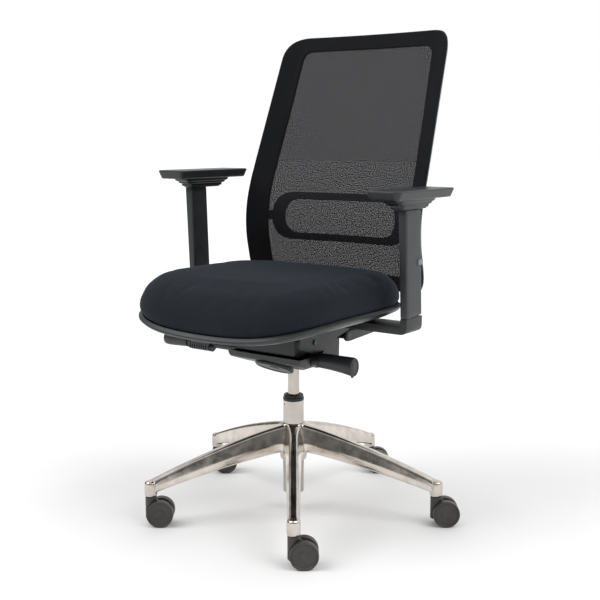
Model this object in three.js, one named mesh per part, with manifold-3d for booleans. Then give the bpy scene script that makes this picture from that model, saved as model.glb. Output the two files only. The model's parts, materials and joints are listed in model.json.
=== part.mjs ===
// A swivel office chair: five-leg base on casters, gas lift, synchro tilt mechanism, sliding seat, mesh back
// with a lumbar ring, and two height-adjustable arms. Millimetres, +Z up. The sitter faces -Y, with +X on the
// left. The pieces are laid out around the column's axis, on a floor at Z = 0. The last lines move the whole
// chair so that its origin is on the floor, under the middle of its outer box.
import * as THREE from "three";
import { mergeVertices } from "three/addons/utils/BufferGeometryUtils.js";
import Module from "manifold-3d";

const wasm = await Module();
wasm.setup();

const DEG = Math.PI / 180;

// ---------- Driving dimensions ----------

// Clearances between separate pieces.
const seatedGap = 0.4; // faces that rest on or against each other
const runningGap = 0.6; // round pieces that turn or slide in a bore, measured on the radius
const slideGap = 1.0; // flat pieces that pass each other

// Casters.
const wheelRadius = 31;
const wheelWidth = 17.5;
const casterWidth = 48;
const casterTrail = 22;
const casterHeading = 36 * DEG; // the way the wheels trail, from +X
const stemRadius = 5.5;
const stemInsertion = 32;
const wheelHeadroom = 8; // between the wheels' tops and the leg's socket
const hoodRadius = 13;
const axleRadius = 4;

// Base star.
const legCount = 5;
const firstLegAngle = -54 * DEG; // from +X
const stemCircleRadius = 347;
const socketRadius = 14.5;
const socketBottom = 2 * wheelRadius + wheelHeadroom;
const socketHeight = 39;
const hubRadius = 32;
const hubBottom = 126;
const hubHeight = 90;
const legHubDepth = 62;
const legTipDepth = 30;
const legArch = 14;
const legHollow = 10;
const legRidgeWidth = 18;
const legHubWidth = 40;
const legTipWidth = 27;

// Gas spring column.
const tubeRadius = 25;
const tubeWall = 4;
const tubeBottom = 42;
const tubeHeight = 230;
const collarHeight = 13;
const bushDepth = 80;
const cylinderRadius = 14;
const cylinderWall = 2.6;
const cylinderBottom = 100;
const rodRadius = 5;
const rodLength = 152;
const clipRadius = 9;

// Tilt mechanism.
const mechanismBottom = 352;
const coverTop = 396;
const coverWall = 3;
const coverFront = -118;
const coverRear = 80;
const housingHalfWidth = 84;
const coverReveal = 20; // how much wider the cover is than the housing, each side
const coverHalfWidth = housingHalfWidth + coverReveal;
const housingFront = -112;
const housingTop = 452;
const cylinderSocketTop = 420;
const tiltPivot = { y: 55, z: 430, radius: 8 };
const tiltBossRadius = 12.5;
const seatPivot = { y: -96, z: 440, radius: 6 };
const springCoilRadius = 20;
const springWireRadius = 3;
const springTurns = 4;
const springLength = 46;
const knobRadius = 46;
const knobThickness = 11;

// Controls, which run out sideways on one axis: the tilt control on the left, and on the right the depth
// control's tube with the height control's rod inside it. Reach is measured from the chair's middle plane.
const controlAxis = { y: -60, z: 392 };
const tiltControl = { stemRadius: 14, stemReach: 123, reach: 211, gripRadius: 15, endRadius: 21 };
const depthControl = { stemRadius: 9, stemReach: 197, reach: 262, paddleDepth: 40 };
const heightControl = { stemRadius: 5, ringReach: 273, reach: 348, gripRadius: 14 };

// The carrier's arms pass outside the cover, and the seat bracket's flanges outside those arms.
const carrierArmSpace = 9;
const carrierArmInner = coverHalfWidth + carrierArmSpace;
const carrierArmThickness = 8;

// Seat bracket.
const flangeSpace = 3; // between a carrier arm and the flange beside it
const bracketTop = 474;
const bracketThickness = 6;
const bracketFront = -150;
const bracketRear = 72;
const flangeThickness = 4;
const bracketHalfWidth = carrierArmInner + carrierArmThickness + flangeSpace + flangeThickness;

// Seat.
const seatHalfWidth = 253;
const seatDepth = 500;
const seatFront = -335;
const seatSquareness = 4.2; // exponent of the seat's superellipse outline
const railHeight = 10;
const seatFloor = bracketTop + railHeight;
const shellThickness = 6;
const rimBottom = seatFloor + 22;
const rimTop = rimBottom + 12;
const cushionThickness = 97;
const cushionGap = 2; // between the shell's floor and the foam
const waterfallStart = -150;
const waterfallDrop = 37;
const cornerLift = 0.6; // share of that drop which the front corners don't take
const railSpread = 75;
const railWidth = 30;

// Back. Its surface is a straight slope above and below a round lumbar curve, and its sides wrap forward.
const backBottom = 520;
const backTop = 1144;
const lumbarForward = 187; // y of the foremost point of the curve
const lumbarHeight = 675;
const lumbarCurve = 260;
const slopeAbove = 19 * DEG;
const slopeBelow = 13 * DEG;
const backWrapRadius = 1300;
const wingSweep = 0.45;
const wingStart = 200;
const backHalfWidth = 254;
const backTopHalfWidth = 236;
const backShoulder = 790; // height where the sides start to lean in
const sideBand = 48;
const topBand = 37;
const bottomBand = 38;
const frameThickness = 14;
const meshThickness = 1.6;
const meshInset = 3;
const backFacetsAcross = 12;
const backFacetsUp = 18;

// Lumbar ring.
const ringSideGap = 18; // between the ring's end and the frame's band
const ringHalfLength = backHalfWidth - sideBand - ringSideGap;
const ringHalfHeight = 60;
const ringCentre = 692;
const ringEnd = 35;
const ringBar = 18;
const ringThickness = 6;
const ringGap = 1.8; // behind the mesh and the frame, over which the ring slides on its curve
const earHalfHeight = 12;

// Back carrier.
const carrierThickness = 14;
const spineHalfWidth = 70;
const carrierBottom = 424;
const spineOverlap = 36; // how far the spine reaches up behind the back frame

// Arms.
const armCentreY = 25;
const armLean = 3 * DEG;
const sleeveWidth = 20;
const seatToSleeve = 39;
const armSpacing = 2 * (seatHalfWidth + seatToSleeve + sleeveWidth / 2);
const sleeveDepth = 72;
const sleeveInnerDepth = 56;
const sleeveTaper = 2; // how much thinner the sleeve is at its foot, on the inner side
const sleeveCorner = 7;
const tongueWidth = 6;
const tongueDepth = 32;
const tongueOffset = 3.2; // outwards from the sleeve's centre
const tongueForward = 6; // forwards from the sleeve's centre
const armBarDrop = 12; // below the seat bracket's top
const armBarBottom = bracketTop - armBarDrop;
const armBarThickness = 18;
const sleeveLift = 38; // of the sleeve's foot above the bar's underside
const sleeveBottom = armBarBottom + sleeveLift;
const sleeveLength = 235;
const sleeveTop = sleeveBottom + sleeveLength;
const armRaise = { left: 0, right: 32 };
const buttonHeight = 12;
const buttonDepth = 22;
const buttonTravel = 2;
const buttonProud = 2.5;
const buttonDrop = 117; // below the sleeve's top
const padLength = 254;
const padWidth = 85;
const padThickness = 21;
const padCentreY = 27.5;
const padInset = 6; // pad centre, inboard of the sleeve's centre
const carrierHeight = 22;
const padCarrierWidth = 44;

// ---------- Materials ----------

function finish(color, roughness, metalness) {
  return new THREE.MeshStandardMaterial({ color, roughness, metalness });
}

const polishedAluminium = finish("#d9d4cd", 0.12, 1);
const chrome = finish("#cfcac3", 0.08, 1);
const zincPlate = finish("#a8a9ab", 0.35, 1);
const springSteel = finish("#5b5e63", 0.4, 1);
const blackPlastic = finish("#232427", 0.5, 0);
const charcoalPlastic = finish("#3c3e41", 0.42, 0);
const casterNylon = finish("#3d3b38", 0.45, 0);
const buttonPlastic = finish("#8b8d90", 0.45, 0);
const paddedPolyurethane = finish("#2c2e31", 0.4, 0);
const seatFabric = finish("#2b2f36", 0.9, 0);
const borderTextile = finish("#232327", 0.85, 0);
const backNet = finish("#4b4b50", 0.8, 0);

// ---------- Solid tools ----------

function toSolid(geometry) {
  const bare = geometry.clone();
  bare.deleteAttribute("normal");
  bare.deleteAttribute("uv");
  const merged = mergeVertices(bare, 1e-4);
  const vertProperties = merged.attributes.position.array;
  const triVerts = new Uint32Array(merged.index.array);
  return new wasm.Manifold(new wasm.Mesh({ numProp: 3, vertProperties, triVerts }));
}

function toGeometry(made) {
  const { vertProperties, triVerts } = made.getMesh();
  const geometry = new THREE.BufferGeometry();
  geometry.setAttribute("position", new THREE.BufferAttribute(vertProperties, 3));
  geometry.setIndex(new THREE.BufferAttribute(triVerts, 1));
  const faceted = geometry.toNonIndexed();
  faceted.computeVertexNormals();
  return faceted;
}

function joined(...pieces) {
  return toGeometry(pieces.map(toSolid).reduce((whole, piece) => whole.add(piece)));
}

function cutFrom(piece, ...cutters) {
  return toGeometry(cutters.map(toSolid).reduce((rest, cutter) => rest.subtract(cutter), toSolid(piece)));
}

function common(...pieces) {
  return toGeometry(pieces.map(toSolid).reduce((whole, piece) => whole.intersect(piece)));
}

// Moves every vertex by a function that changes the given point.
function reshaped(geometry, change) {
  const places = geometry.attributes.position;
  const point = new THREE.Vector3();
  for (let i = 0; i < places.count; i++) {
    point.fromBufferAttribute(places, i);
    change(point);
    places.setXYZ(i, point.x, point.y, point.z);
  }
  return geometry;
}

// ---------- Shape tools ----------

// A solid of revolution about Z, from [radius, height] points that run outwards and up.
function turned(profile, segments = 24) {
  const points = profile.map(([radius, height]) => new THREE.Vector2(radius, height));
  return new THREE.LatheGeometry(points, segments).rotateX(Math.PI / 2);
}

// A turned solid laid along +X or -X, starting at the given place.
function turnedAlongX(profile, side, x, y, z, segments = 16) {
  return turned(profile, segments).rotateY((side * Math.PI) / 2).translate(side * x, y, z);
}

// A closed outline with rounded corners, from [x, y, radius] corners.
function outline(corners) {
  const shape = new THREE.Shape();
  const at = corners.map(([x, y]) => new THREE.Vector2(x, y));
  corners.forEach(([, , radius = 0], i) => {
    const here = at[i];
    const before = at[(i + at.length - 1) % at.length];
    const after = at[(i + 1) % at.length];
    const inDirection = before.clone().sub(here).normalize();
    const outDirection = after.clone().sub(here).normalize();
    const halfAngle = Math.acos(THREE.MathUtils.clamp(inDirection.dot(outDirection), -1, 1)) / 2;
    const longest = 0.48 * Math.min(here.distanceTo(before), here.distanceTo(after));
    const reach = Math.min(radius / Math.tan(halfAngle), longest);
    const start = here.clone().addScaledVector(inDirection, reach);
    const end = here.clone().addScaledVector(outDirection, reach);
    if (i === 0) shape.moveTo(start.x, start.y);
    else shape.lineTo(start.x, start.y);
    if (radius > 0) shape.quadraticCurveTo(here.x, here.y, end.x, end.y);
  });
  shape.closePath();
  return shape;
}

function roundedRectangle(width, height, radius) {
  const x = width / 2;
  const y = height / 2;
  return outline([[-x, -y, radius], [x, -y, radius], [x, y, radius], [-x, y, radius]]);
}

function mirroredOutline(halfCorners) {
  const leftHalf = halfCorners.map(([x, y, radius]) => [-x, y, radius]).reverse();
  return outline([...halfCorners, ...leftHalf]);
}

function extruded(shape, depth, curveSegments = 4) {
  return new THREE.ExtrudeGeometry(shape, { depth, bevelEnabled: false, curveSegments });
}

// Extrudes an outline drawn in Y and Z along X, between two places on X.
function extrudedAlongX(shape, from, to, curveSegments) {
  const turn = new THREE.Matrix4().makeBasis(
    new THREE.Vector3(0, 1, 0),
    new THREE.Vector3(0, 0, 1),
    new THREE.Vector3(1, 0, 0),
  );
  return extruded(shape, to - from, curveSegments).applyMatrix4(turn).translate(from, 0, 0);
}

// Extrudes an outline drawn in X and Z along Y, between two places on Y.
function extrudedAlongY(shape, from, to, curveSegments) {
  return extruded(shape, to - from, curveSegments).rotateX(Math.PI / 2).translate(0, to, 0);
}

function boxBetween([x0, y0, z0], [x1, y1, z1]) {
  const box = new THREE.BoxGeometry(Math.abs(x1 - x0), Math.abs(y1 - y0), Math.abs(z1 - z0));
  return box.translate((x0 + x1) / 2, (y0 + y1) / 2, (z0 + z1) / 2);
}

// A round bar or hole about Z, between two heights.
function roundBar(radius, bottom, top, segments = 24) {
  return turned([[0, bottom], [radius, bottom], [radius, top], [0, top]], segments);
}

function roundBarAlongX(radius, from, to, y, z, segments = 16) {
  return roundBar(radius, from, to, segments).rotateY(Math.PI / 2).translate(0, y, z);
}

const chair = new THREE.Group();

function place(parent, name, geometry, material) {
  const mesh = new THREE.Mesh(geometry, material);
  mesh.name = name;
  parent.add(mesh);
  return mesh;
}

// ---------- Base star ----------

const hubTop = hubBottom + hubHeight;
const socketTop = socketBottom + socketHeight;
const stemBoreRadius = stemRadius + runningGap;

// One leg along +X: a side outline, made narrower at its ridge and towards its tip.
function legSolid() {
  const inner = tubeRadius;
  const outer = stemCircleRadius;
  const tipTop = socketTop - 2;
  const side = new THREE.Shape();
  side.moveTo(inner, hubTop - 2 - legHubDepth);
  const footLevel = tipTop - legTipDepth;
  const hollowLevel = (hubTop - legHubDepth + footLevel) / 2 + legHollow;
  side.quadraticCurveTo((inner + outer) / 2, hollowLevel, outer, footLevel);
  side.lineTo(outer, tipTop);
  side.quadraticCurveTo((inner + outer) / 2, (hubTop + tipTop) / 2 + legArch, inner, hubTop - 2);
  side.closePath();
  const leg = extruded(side, 1, 6).rotateX(Math.PI / 2).translate(0, 0.5, 0);
  return reshaped(leg, (point) => {
    const along = (point.x - inner) / (outer - inner);
    const ridge = THREE.MathUtils.lerp(hubTop, tipTop, along);
    const below = ridge - point.z;
    const depth = THREE.MathUtils.lerp(legHubDepth, legTipDepth, along);
    const low = THREE.MathUtils.clamp(below / depth, 0, 1);
    const foot = THREE.MathUtils.lerp(legHubWidth, legTipWidth, along);
    point.y *= THREE.MathUtils.lerp(legRidgeWidth, foot, low);
  });
}

function socketSolid() {
  const shoulder = socketTop - 8;
  const profile = [[0, socketBottom], [socketRadius, socketBottom], [socketRadius, shoulder], [9, socketTop],
    [0, socketTop]];
  return turned(profile, 16).translate(stemCircleRadius, 0, 0);
}

function stemBore() {
  const bore = roundBar(stemBoreRadius, socketBottom - 1, socketBottom + stemInsertion + seatedGap, 12);
  return bore.translate(stemCircleRadius, 0, 0);
}

function legAngle(index) {
  return firstLegAngle + (index * 2 * Math.PI) / legCount;
}

function buildBaseStar() {
  const hubProfile = [[0, hubBottom], [hubRadius, hubBottom], [hubRadius, hubTop - 12], [hubRadius - 4, hubTop],
    [0, hubTop]];
  const hub = turned(hubProfile, 30);
  const pieces = [hub];
  const bores = [roundBar(tubeRadius + runningGap, hubBottom - 1, hubTop + 1)];
  for (let i = 0; i < legCount; i++) {
    pieces.push(legSolid().rotateZ(legAngle(i)), socketSolid().rotateZ(legAngle(i)));
    bores.push(stemBore().rotateZ(legAngle(i)));
  }
  place(chair, "base_star", cutFrom(joined(...pieces), ...bores), polishedAluminium);
}

// ---------- Gas spring column ----------

const tubeTop = tubeBottom + tubeHeight;
const tubeInnerRadius = tubeRadius - tubeWall;
const collarTop = tubeTop + collarHeight;
const cylinderTop = cylinderSocketTop - 2;
const cylinderInnerRadius = cylinderRadius - cylinderWall;

function buildColumn() {
  const rodHole = rodRadius + runningGap;
  const tube = [
    [rodHole, tubeBottom],
    [tubeRadius, tubeBottom],
    [tubeRadius, tubeTop],
    [tubeInnerRadius, tubeTop],
    [tubeInnerRadius, tubeBottom + tubeWall],
    [rodHole, tubeBottom + tubeWall],
    [rodHole, tubeBottom],
  ];
  place(chair, "column_tube", turned(tube), chrome);

  const bushBore = cylinderRadius + runningGap;
  const bushOuter = tubeInnerRadius - runningGap;
  const collarBottom = tubeTop + seatedGap;
  const bush = [
    [bushBore, tubeTop - bushDepth],
    [bushOuter, tubeTop - bushDepth],
    [bushOuter, collarBottom],
    [tubeRadius, collarBottom],
    [tubeRadius, collarTop - 4],
    [tubeRadius - 4, collarTop],
    [bushBore, collarTop],
    [bushBore, tubeTop - bushDepth],
  ];
  place(chair, "guide_collar", turned(bush), blackPlastic);

  const clipTop = tubeBottom - seatedGap;
  const rodTop = clipTop + rodLength;
  const headRadius = cylinderInnerRadius - runningGap;
  const rod = [
    [0, clipTop - 4],
    [clipRadius, clipTop - 4],
    [clipRadius, clipTop],
    [rodRadius, clipTop],
    [rodRadius, rodTop - 10],
    [headRadius, rodTop - 10],
    [headRadius, rodTop],
    [0, rodTop],
  ];
  place(chair, "piston_rod", turned(rod, 16), zincPlate);

  const cylinder = [
    [cylinderInnerRadius, cylinderBottom],
    [cylinderRadius, cylinderBottom],
    [cylinderRadius, cylinderTop],
    [0, cylinderTop],
    [0, cylinderTop - 12],
    [cylinderInnerRadius, cylinderTop - 12],
    [cylinderInnerRadius, cylinderBottom],
  ];
  place(chair, "gas_cylinder", turned(cylinder), chrome);
}

// ---------- Casters ----------

const wheelInner = casterWidth / 2 - wheelWidth;
const hoodTop = socketBottom - 1;

// Wheel about Z with its closed face up, its blind bore open below.
function wheelGeometry() {
  const bore = axleRadius + runningGap;
  const profile = [
    [bore, 0],
    [wheelRadius - 3, 0],
    [wheelRadius, 3],
    [wheelRadius, wheelWidth - 3],
    [wheelRadius - 3, wheelWidth],
    [0, wheelWidth],
    [0, wheelWidth - 3],
    [bore, wheelWidth - 3],
    [bore, 0],
  ];
  return turned(profile, 16);
}

function wheelClearance(side) {
  const inner = wheelInner - slideGap;
  const disc = roundBar(wheelRadius + 1.5, inner, inner + wheelWidth + 10, 24);
  return disc.rotateX((-side * Math.PI) / 2).translate(casterTrail, 0, wheelRadius);
}

function buildCaster(number, angle) {
  const caster = new THREE.Group();
  caster.position.set(stemCircleRadius * Math.cos(angle), stemCircleRadius * Math.sin(angle), 0);
  caster.rotation.z = casterHeading;
  chair.add(caster);

  const collar = [hoodTop - 4.4, hoodTop - 1.4];
  const stem = [
    [0, collar[0] - 12],
    [stemRadius, collar[0] - 12],
    [stemRadius, collar[0]],
    [stemRadius + 3, collar[0]],
    [stemRadius + 3, collar[1]],
    [stemRadius, collar[1]],
    [stemRadius, socketBottom + stemInsertion - 1],
    [0, socketBottom + stemInsertion - 1],
  ];
  place(caster, `caster_${number}_stem`, turned(stem, 12), zincPlate);

  const pillar = roundBar(hoodRadius, 0.55 * wheelRadius, hoodTop, 16);
  const webHalf = wheelInner - slideGap;
  const webOutline = outline([[-hoodRadius + 2, 0.6 * wheelRadius, 4], [casterTrail, 0.5 * wheelRadius, 9],
    [casterTrail + 12, wheelRadius, 9], [8, hoodTop - 2, 6], [-hoodRadius + 2, hoodTop - 2, 2]]);
  const web = extrudedAlongY(webOutline, -webHalf, webHalf, 2);
  const stemHole = turned([[0, collar[0] - 13], [stemRadius + runningGap, collar[0] - 13],
    [stemRadius + runningGap, collar[0] - seatedGap], [stemRadius + 3 + runningGap, collar[0] - seatedGap],
    [stemRadius + 3 + runningGap, hoodTop + 1], [0, hoodTop + 1]], 12);
  const axleHole = roundBar(axleRadius + runningGap, -webHalf - 1, webHalf + 1, 12);
  axleHole.rotateX(Math.PI / 2).translate(casterTrail, 0, wheelRadius);
  const clearPillar = cutFrom(pillar, wheelClearance(1), wheelClearance(-1));
  const hood = cutFrom(joined(clearPillar, web), stemHole, axleHole);
  place(caster, `caster_${number}_hood`, hood, casterNylon);

  const axleEnd = casterWidth / 2 - 3 - seatedGap;
  const axle = place(caster, `caster_${number}_axle`, roundBar(axleRadius, -axleEnd, axleEnd, 10), zincPlate);
  axle.position.set(casterTrail, 0, wheelRadius);
  axle.rotation.x = Math.PI / 2;

  for (const [letter, side] of [["a", -1], ["b", 1]]) {
    const wheel = place(caster, `caster_${number}_wheel_${letter}`, wheelGeometry(), casterNylon);
    wheel.position.set(casterTrail, side * wheelInner, wheelRadius);
    wheel.rotation.set((-side * Math.PI) / 2, 0, 0);
  }
}

// ---------- Tilt mechanism ----------

// The cover's front slopes down from its lip to its flat bottom.
const slopeFoot = { y: -24, z: mechanismBottom };
const slopeAngle = Math.atan2(coverTop - slopeFoot.z, slopeFoot.y - coverFront);
const knobSeat = { y: (coverFront + slopeFoot.y) / 2, z: (coverTop + slopeFoot.z) / 2 };

function coverBody(inset) {
  const side = outline([[coverFront + inset, coverTop + 2 * inset, 0], [coverFront + inset, coverTop, 0],
    [slopeFoot.y + inset / 3, mechanismBottom + inset, 8], [coverRear - 36, mechanismBottom + inset, 8],
    [coverRear - inset, mechanismBottom + 16 + inset, 6], [coverRear - inset, coverTop + 2 * inset, 0]]);
  const halfFront = [[coverHalfWidth - 38 - inset, mechanismBottom + inset, 8],
    [coverHalfWidth - 7 - inset, mechanismBottom + 20 + inset, 12],
    [coverHalfWidth - inset, coverTop + 2 * inset, 0]];
  return common(
    extrudedAlongX(side, -coverHalfWidth, coverHalfWidth, 3),
    extrudedAlongY(mirroredOutline(halfFront), coverFront, coverRear, 3),
  );
}

// Turns a solid about Z so that its axis points out of the cover's sloping front, and moves it there.
function onCoverSlope(geometry) {
  return geometry.rotateX(Math.PI - slopeAngle).translate(0, knobSeat.y, knobSeat.z);
}

function buildMechanism() {
  const stubRadius = 5.5;
  const cover = cutFrom(
    coverBody(0),
    coverBody(coverWall),
    roundBar(cylinderRadius + 3, mechanismBottom - 1, coverTop),
    roundBarAlongX(tiltControl.stemRadius + 1.5, 0, coverHalfWidth + 1, controlAxis.y, controlAxis.z),
    roundBarAlongX(depthControl.stemRadius + 3, -coverHalfWidth - 1, 0, controlAxis.y, controlAxis.z),
    onCoverSlope(roundBar(stubRadius + runningGap, -12, 12, 12)),
  );
  place(chair, "mech_cover", cover, charcoalPlastic);

  const floor = mechanismBottom + 10;
  const side = outline([[housingFront, housingTop, 10], [housingFront, coverTop + 8, 6], [-20, floor, 10],
    [50, floor, 6], [coverRear - 10, floor + 14, 6], [coverRear - 8, tiltPivot.z + tiltBossRadius - 1, 6],
    [tiltPivot.y - 8, tiltPivot.z + tiltBossRadius - 1, 12], [20, housingTop - 7, 20]]);
  const front = mirroredOutline([[housingHalfWidth - 28, floor - 1, 0], [housingHalfWidth, floor + 26, 0],
    [housingHalfWidth, housingTop + 1, 0]]);
  const pocketHalf = springCoilRadius + springWireRadius + 3;
  const pocketFront = seatPivot.y + seatPivot.radius + 6;
  const pocketRear = -cylinderRadius - 8;
  const past = housingHalfWidth + 1;
  const block = common(
    extrudedAlongX(side, -housingHalfWidth, housingHalfWidth, 2),
    extrudedAlongY(front, housingFront, 100),
  );
  const housing = cutFrom(
    block,
    roundBar(cylinderRadius + runningGap, floor - 1, cylinderSocketTop),
    roundBarAlongX(tiltPivot.radius + runningGap, -past, past, tiltPivot.y, tiltPivot.z),
    roundBarAlongX(seatPivot.radius + runningGap, -past, past, seatPivot.y, seatPivot.z),
    boxBetween([-pocketHalf, pocketFront, housingTop - 2 * pocketHalf], [pocketHalf, pocketRear, housingTop + 1]),
  );
  place(chair, "mech_housing", housing, charcoalPlastic);
}

// A helix about Y, for the spring's wire.
class HelixCurve extends THREE.Curve {
  getPoint(t) {
    const angle = 2 * Math.PI * springTurns * t;
    const r = springCoilRadius;
    return new THREE.Vector3(r * Math.cos(angle), springLength * t, r * Math.sin(angle));
  }
}

function buildShaftsAndSpring() {
  const shaftEnd = carrierArmInner + carrierArmThickness + slideGap;
  const shaft = roundBarAlongX(tiltPivot.radius, -shaftEnd, shaftEnd, tiltPivot.y, tiltPivot.z);
  place(chair, "tilt_shaft", shaft, zincPlate);

  const pinEnd = bracketHalfWidth + 3;
  const pin = roundBarAlongX(seatPivot.radius, -pinEnd, pinEnd, seatPivot.y, seatPivot.z);
  place(chair, "front_pin", pin, zincPlate);

  const wire = new THREE.Shape().absarc(0, 0, springWireRadius, 0, 2 * Math.PI);
  const coil = new THREE.ExtrudeGeometry(wire, {
    steps: 9 * springTurns,
    curveSegments: 3,
    extrudePath: new HelixCurve(),
    bevelEnabled: false,
  });
  const springAxisHeight = housingTop - springCoilRadius - springWireRadius - 3;
  const springStart = seatPivot.y + seatPivot.radius + 6 + springWireRadius + slideGap;
  const spring = place(chair, "tension_spring", coil, springSteel);
  spring.position.set(0, springStart, springAxisHeight);

  const rim = knobRadius - 5;
  const face = slideGap + knobThickness;
  const knob = [[0, -8], [5.5, -8], [5.5, slideGap], [rim, slideGap], [knobRadius, slideGap + 4],
    [knobRadius, face - 5], [rim, face], [0, face]];
  place(chair, "tension_knob", onCoverSlope(turned(knob)), charcoalPlastic);
}

// ---------- Controls ----------

const controlRoot = housingHalfWidth + 2;

function buildTiltControl() {
  const { y, z } = controlAxis;
  const { stemRadius, stemReach, reach, gripRadius, endRadius } = tiltControl;
  const stemLength = stemReach - controlRoot;
  const stem = [[0, 0], [stemRadius, 0], [stemRadius, stemLength - 4], [stemRadius + 1.5, stemLength - 4],
    [stemRadius + 1.5, stemLength], [0, stemLength]];
  place(chair, "tilt_stem", turnedAlongX(stem, 1, controlRoot, y, z), blackPlastic);

  const gripStart = stemReach + seatedGap;
  const gripLength = reach - gripStart;
  const profile = [[0, 0], [gripRadius - 1, 0], [gripRadius, 3], [gripRadius + 2, 0.6 * gripLength],
    [endRadius, gripLength - 6], [endRadius - 1, gripLength], [0, gripLength]];
  const grip = turnedAlongX(profile, 1, gripStart, y, z);
  const pointer = new THREE.SphereGeometry(3.5, 8, 6).translate(reach - 6, y, z - endRadius - 1);
  place(chair, "tilt_grip", joined(grip, pointer), charcoalPlastic);
}

function buildDepthControl() {
  const { y, z } = controlAxis;
  const { stemRadius, stemReach, reach, paddleDepth } = depthControl;
  const bore = heightControl.stemRadius + runningGap;
  const stemLength = stemReach - controlRoot;
  const stem = [[bore, 0], [stemRadius, 0], [stemRadius, stemLength], [bore, stemLength], [bore, 0]];
  place(chair, "depth_stem", turnedAlongX(stem, -1, controlRoot, y, z, 16), zincPlate);

  const front = y - paddleDepth / 2;
  const rear = y + paddleDepth / 2;
  const side = outline([[front, z - 4, 2], [y, z - 14, 6], [rear, z - 4, 2], [rear, z + 2, 2], [y, z + 13, 8],
    [front, z + 2, 2]]);
  const paddle = extrudedAlongX(side, -reach, -stemReach - seatedGap, 3);
  const rodHole = roundBarAlongX(bore, -reach - 1, -stemReach + 1, y, z);
  place(chair, "depth_paddle", cutFrom(paddle, rodHole), charcoalPlastic);
}

function buildHeightControl() {
  const { y, z } = controlAxis;
  const { stemRadius, ringReach, reach, gripRadius } = heightControl;
  const ringStart = depthControl.reach + slideGap - controlRoot;
  const stemLength = ringReach - controlRoot;
  const ringRadius = gripRadius - 1;
  const stem = [[0, 0], [stemRadius, 0], [stemRadius, ringStart], [ringRadius, ringStart],
    [ringRadius, stemLength], [0, stemLength]];
  place(chair, "height_stem", turnedAlongX(stem, -1, controlRoot, y, z, 16), blackPlastic);

  const gripStart = ringReach + seatedGap;
  const gripLength = reach - gripStart;
  const profile = [[0, 0], [gripRadius - 1, 0], [gripRadius, 3], [gripRadius + 1, gripLength - 10],
    [gripRadius - 4, gripLength], [0, gripLength]];
  place(chair, "height_grip", turnedAlongX(profile, -1, gripStart, y, z), charcoalPlastic);
}

// ---------- Seat ----------

const seatCentreY = seatFront + seatDepth / 2;

function seatRadius(angle) {
  const across = Math.abs(Math.cos(angle) / seatHalfWidth) ** seatSquareness;
  const along = Math.abs(Math.sin(angle) / (seatDepth / 2)) ** seatSquareness;
  return (across + along) ** (-1 / seatSquareness);
}

// How far the seat has dropped, at a place on it.
function waterfall(x, y) {
  const past = Math.max(0, waterfallStart - y) / (waterfallStart - seatFront);
  const held = cornerLift * (x / seatHalfWidth) ** 2;
  return waterfallDrop * past ** 2 * (1 - held);
}

// A form over the seat's outline, from [share of the outline, height] points that run outwards and up.
function seatForm(profile) {
  return reshaped(turned(profile, 32), (point) => {
    const share = Math.hypot(point.x, point.y);
    const angle = Math.atan2(point.y, point.x);
    const radius = share * seatRadius(angle);
    point.x = radius * Math.cos(angle);
    point.y = seatCentreY + radius * Math.sin(angle);
    point.z -= waterfall(point.x, point.y);
  });
}

function buildSeatBracket() {
  const under = bracketTop - bracketThickness;
  const half = bracketHalfWidth;
  const plate = boxBetween([-half, bracketFront, under], [half, bracketRear, bracketTop]);
  const controlTop = controlAxis.z + tiltControl.stemRadius + 15;
  const flange = outline([[bracketFront, bracketTop - 1, 0], [bracketFront, seatPivot.z - 8, 8],
    [seatPivot.y - 24, seatPivot.z - 16, 6], [seatPivot.y + 16, seatPivot.z - 16, 6],
    [controlAxis.y - 8, controlTop, 4], [controlAxis.y + 27, controlTop, 4],
    [controlAxis.y + 37, controlTop + 14, 8], [tiltPivot.y - 14, bracketTop - 27, 20],
    [tiltPivot.y + 13, bracketTop - 10, 10], [tiltPivot.y + 16, bracketTop - 1, 0]]);
  const inner = half - flangeThickness;
  const pinHole = roundBarAlongX(seatPivot.radius + runningGap, -half - 1, half + 1, seatPivot.y, seatPivot.z);
  const flanges = [extrudedAlongX(flange, inner, half, 2), extrudedAlongX(flange, -half, -inner, 2)];
  place(chair, "seat_bracket", cutFrom(joined(plate, ...flanges), pinHole), blackPlastic);
}

function buildSeat() {
  const floorTop = seatFloor + shellThickness;
  const shellProfile = [[0, seatFloor], [0.45, seatFloor], [0.64, seatFloor], [0.8, seatFloor],
    [0.92, seatFloor + 9], [1, rimBottom], [1, rimTop], [0.975, rimTop], [0.94, rimBottom + 2],
    [0.88, floorTop + 6], [0.78, floorTop], [0.64, floorTop], [0.45, floorTop], [0, floorTop]];
  const railBottom = bracketTop + seatedGap;
  const rails = [1, -1].map((side) => boxBetween(
    [side * (railSpread - railWidth / 2), bracketFront + 30, railBottom],
    [side * (railSpread + railWidth / 2), bracketRear - 50, seatFloor + 2],
  ));
  place(chair, "seat_shell", joined(seatForm(shellProfile), ...rails), charcoalPlastic);

  const bottom = floorTop + cushionGap;
  const top = seatFloor + shellThickness + cushionThickness;
  const cushionProfile = [[0, bottom], [0.45, bottom], [0.64, bottom], [0.77, bottom], [0.87, bottom + 5],
    [0.93, rimBottom + 4], [0.962, rimTop + slideGap], [0.992, rimTop + slideGap + 3], [1, rimTop + 24],
    [0.96, top - 20], [0.86, top - 5], [0.7, top], [0.45, top - 2], [0, top - 8]];
  place(chair, "seat_cushion", seatForm(cushionProfile), seatFabric);
}

// ---------- Back ----------

const curveTop = lumbarHeight + lumbarCurve * Math.sin(slopeAbove);
const curveBottom = lumbarHeight - lumbarCurve * Math.sin(slopeBelow);

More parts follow.
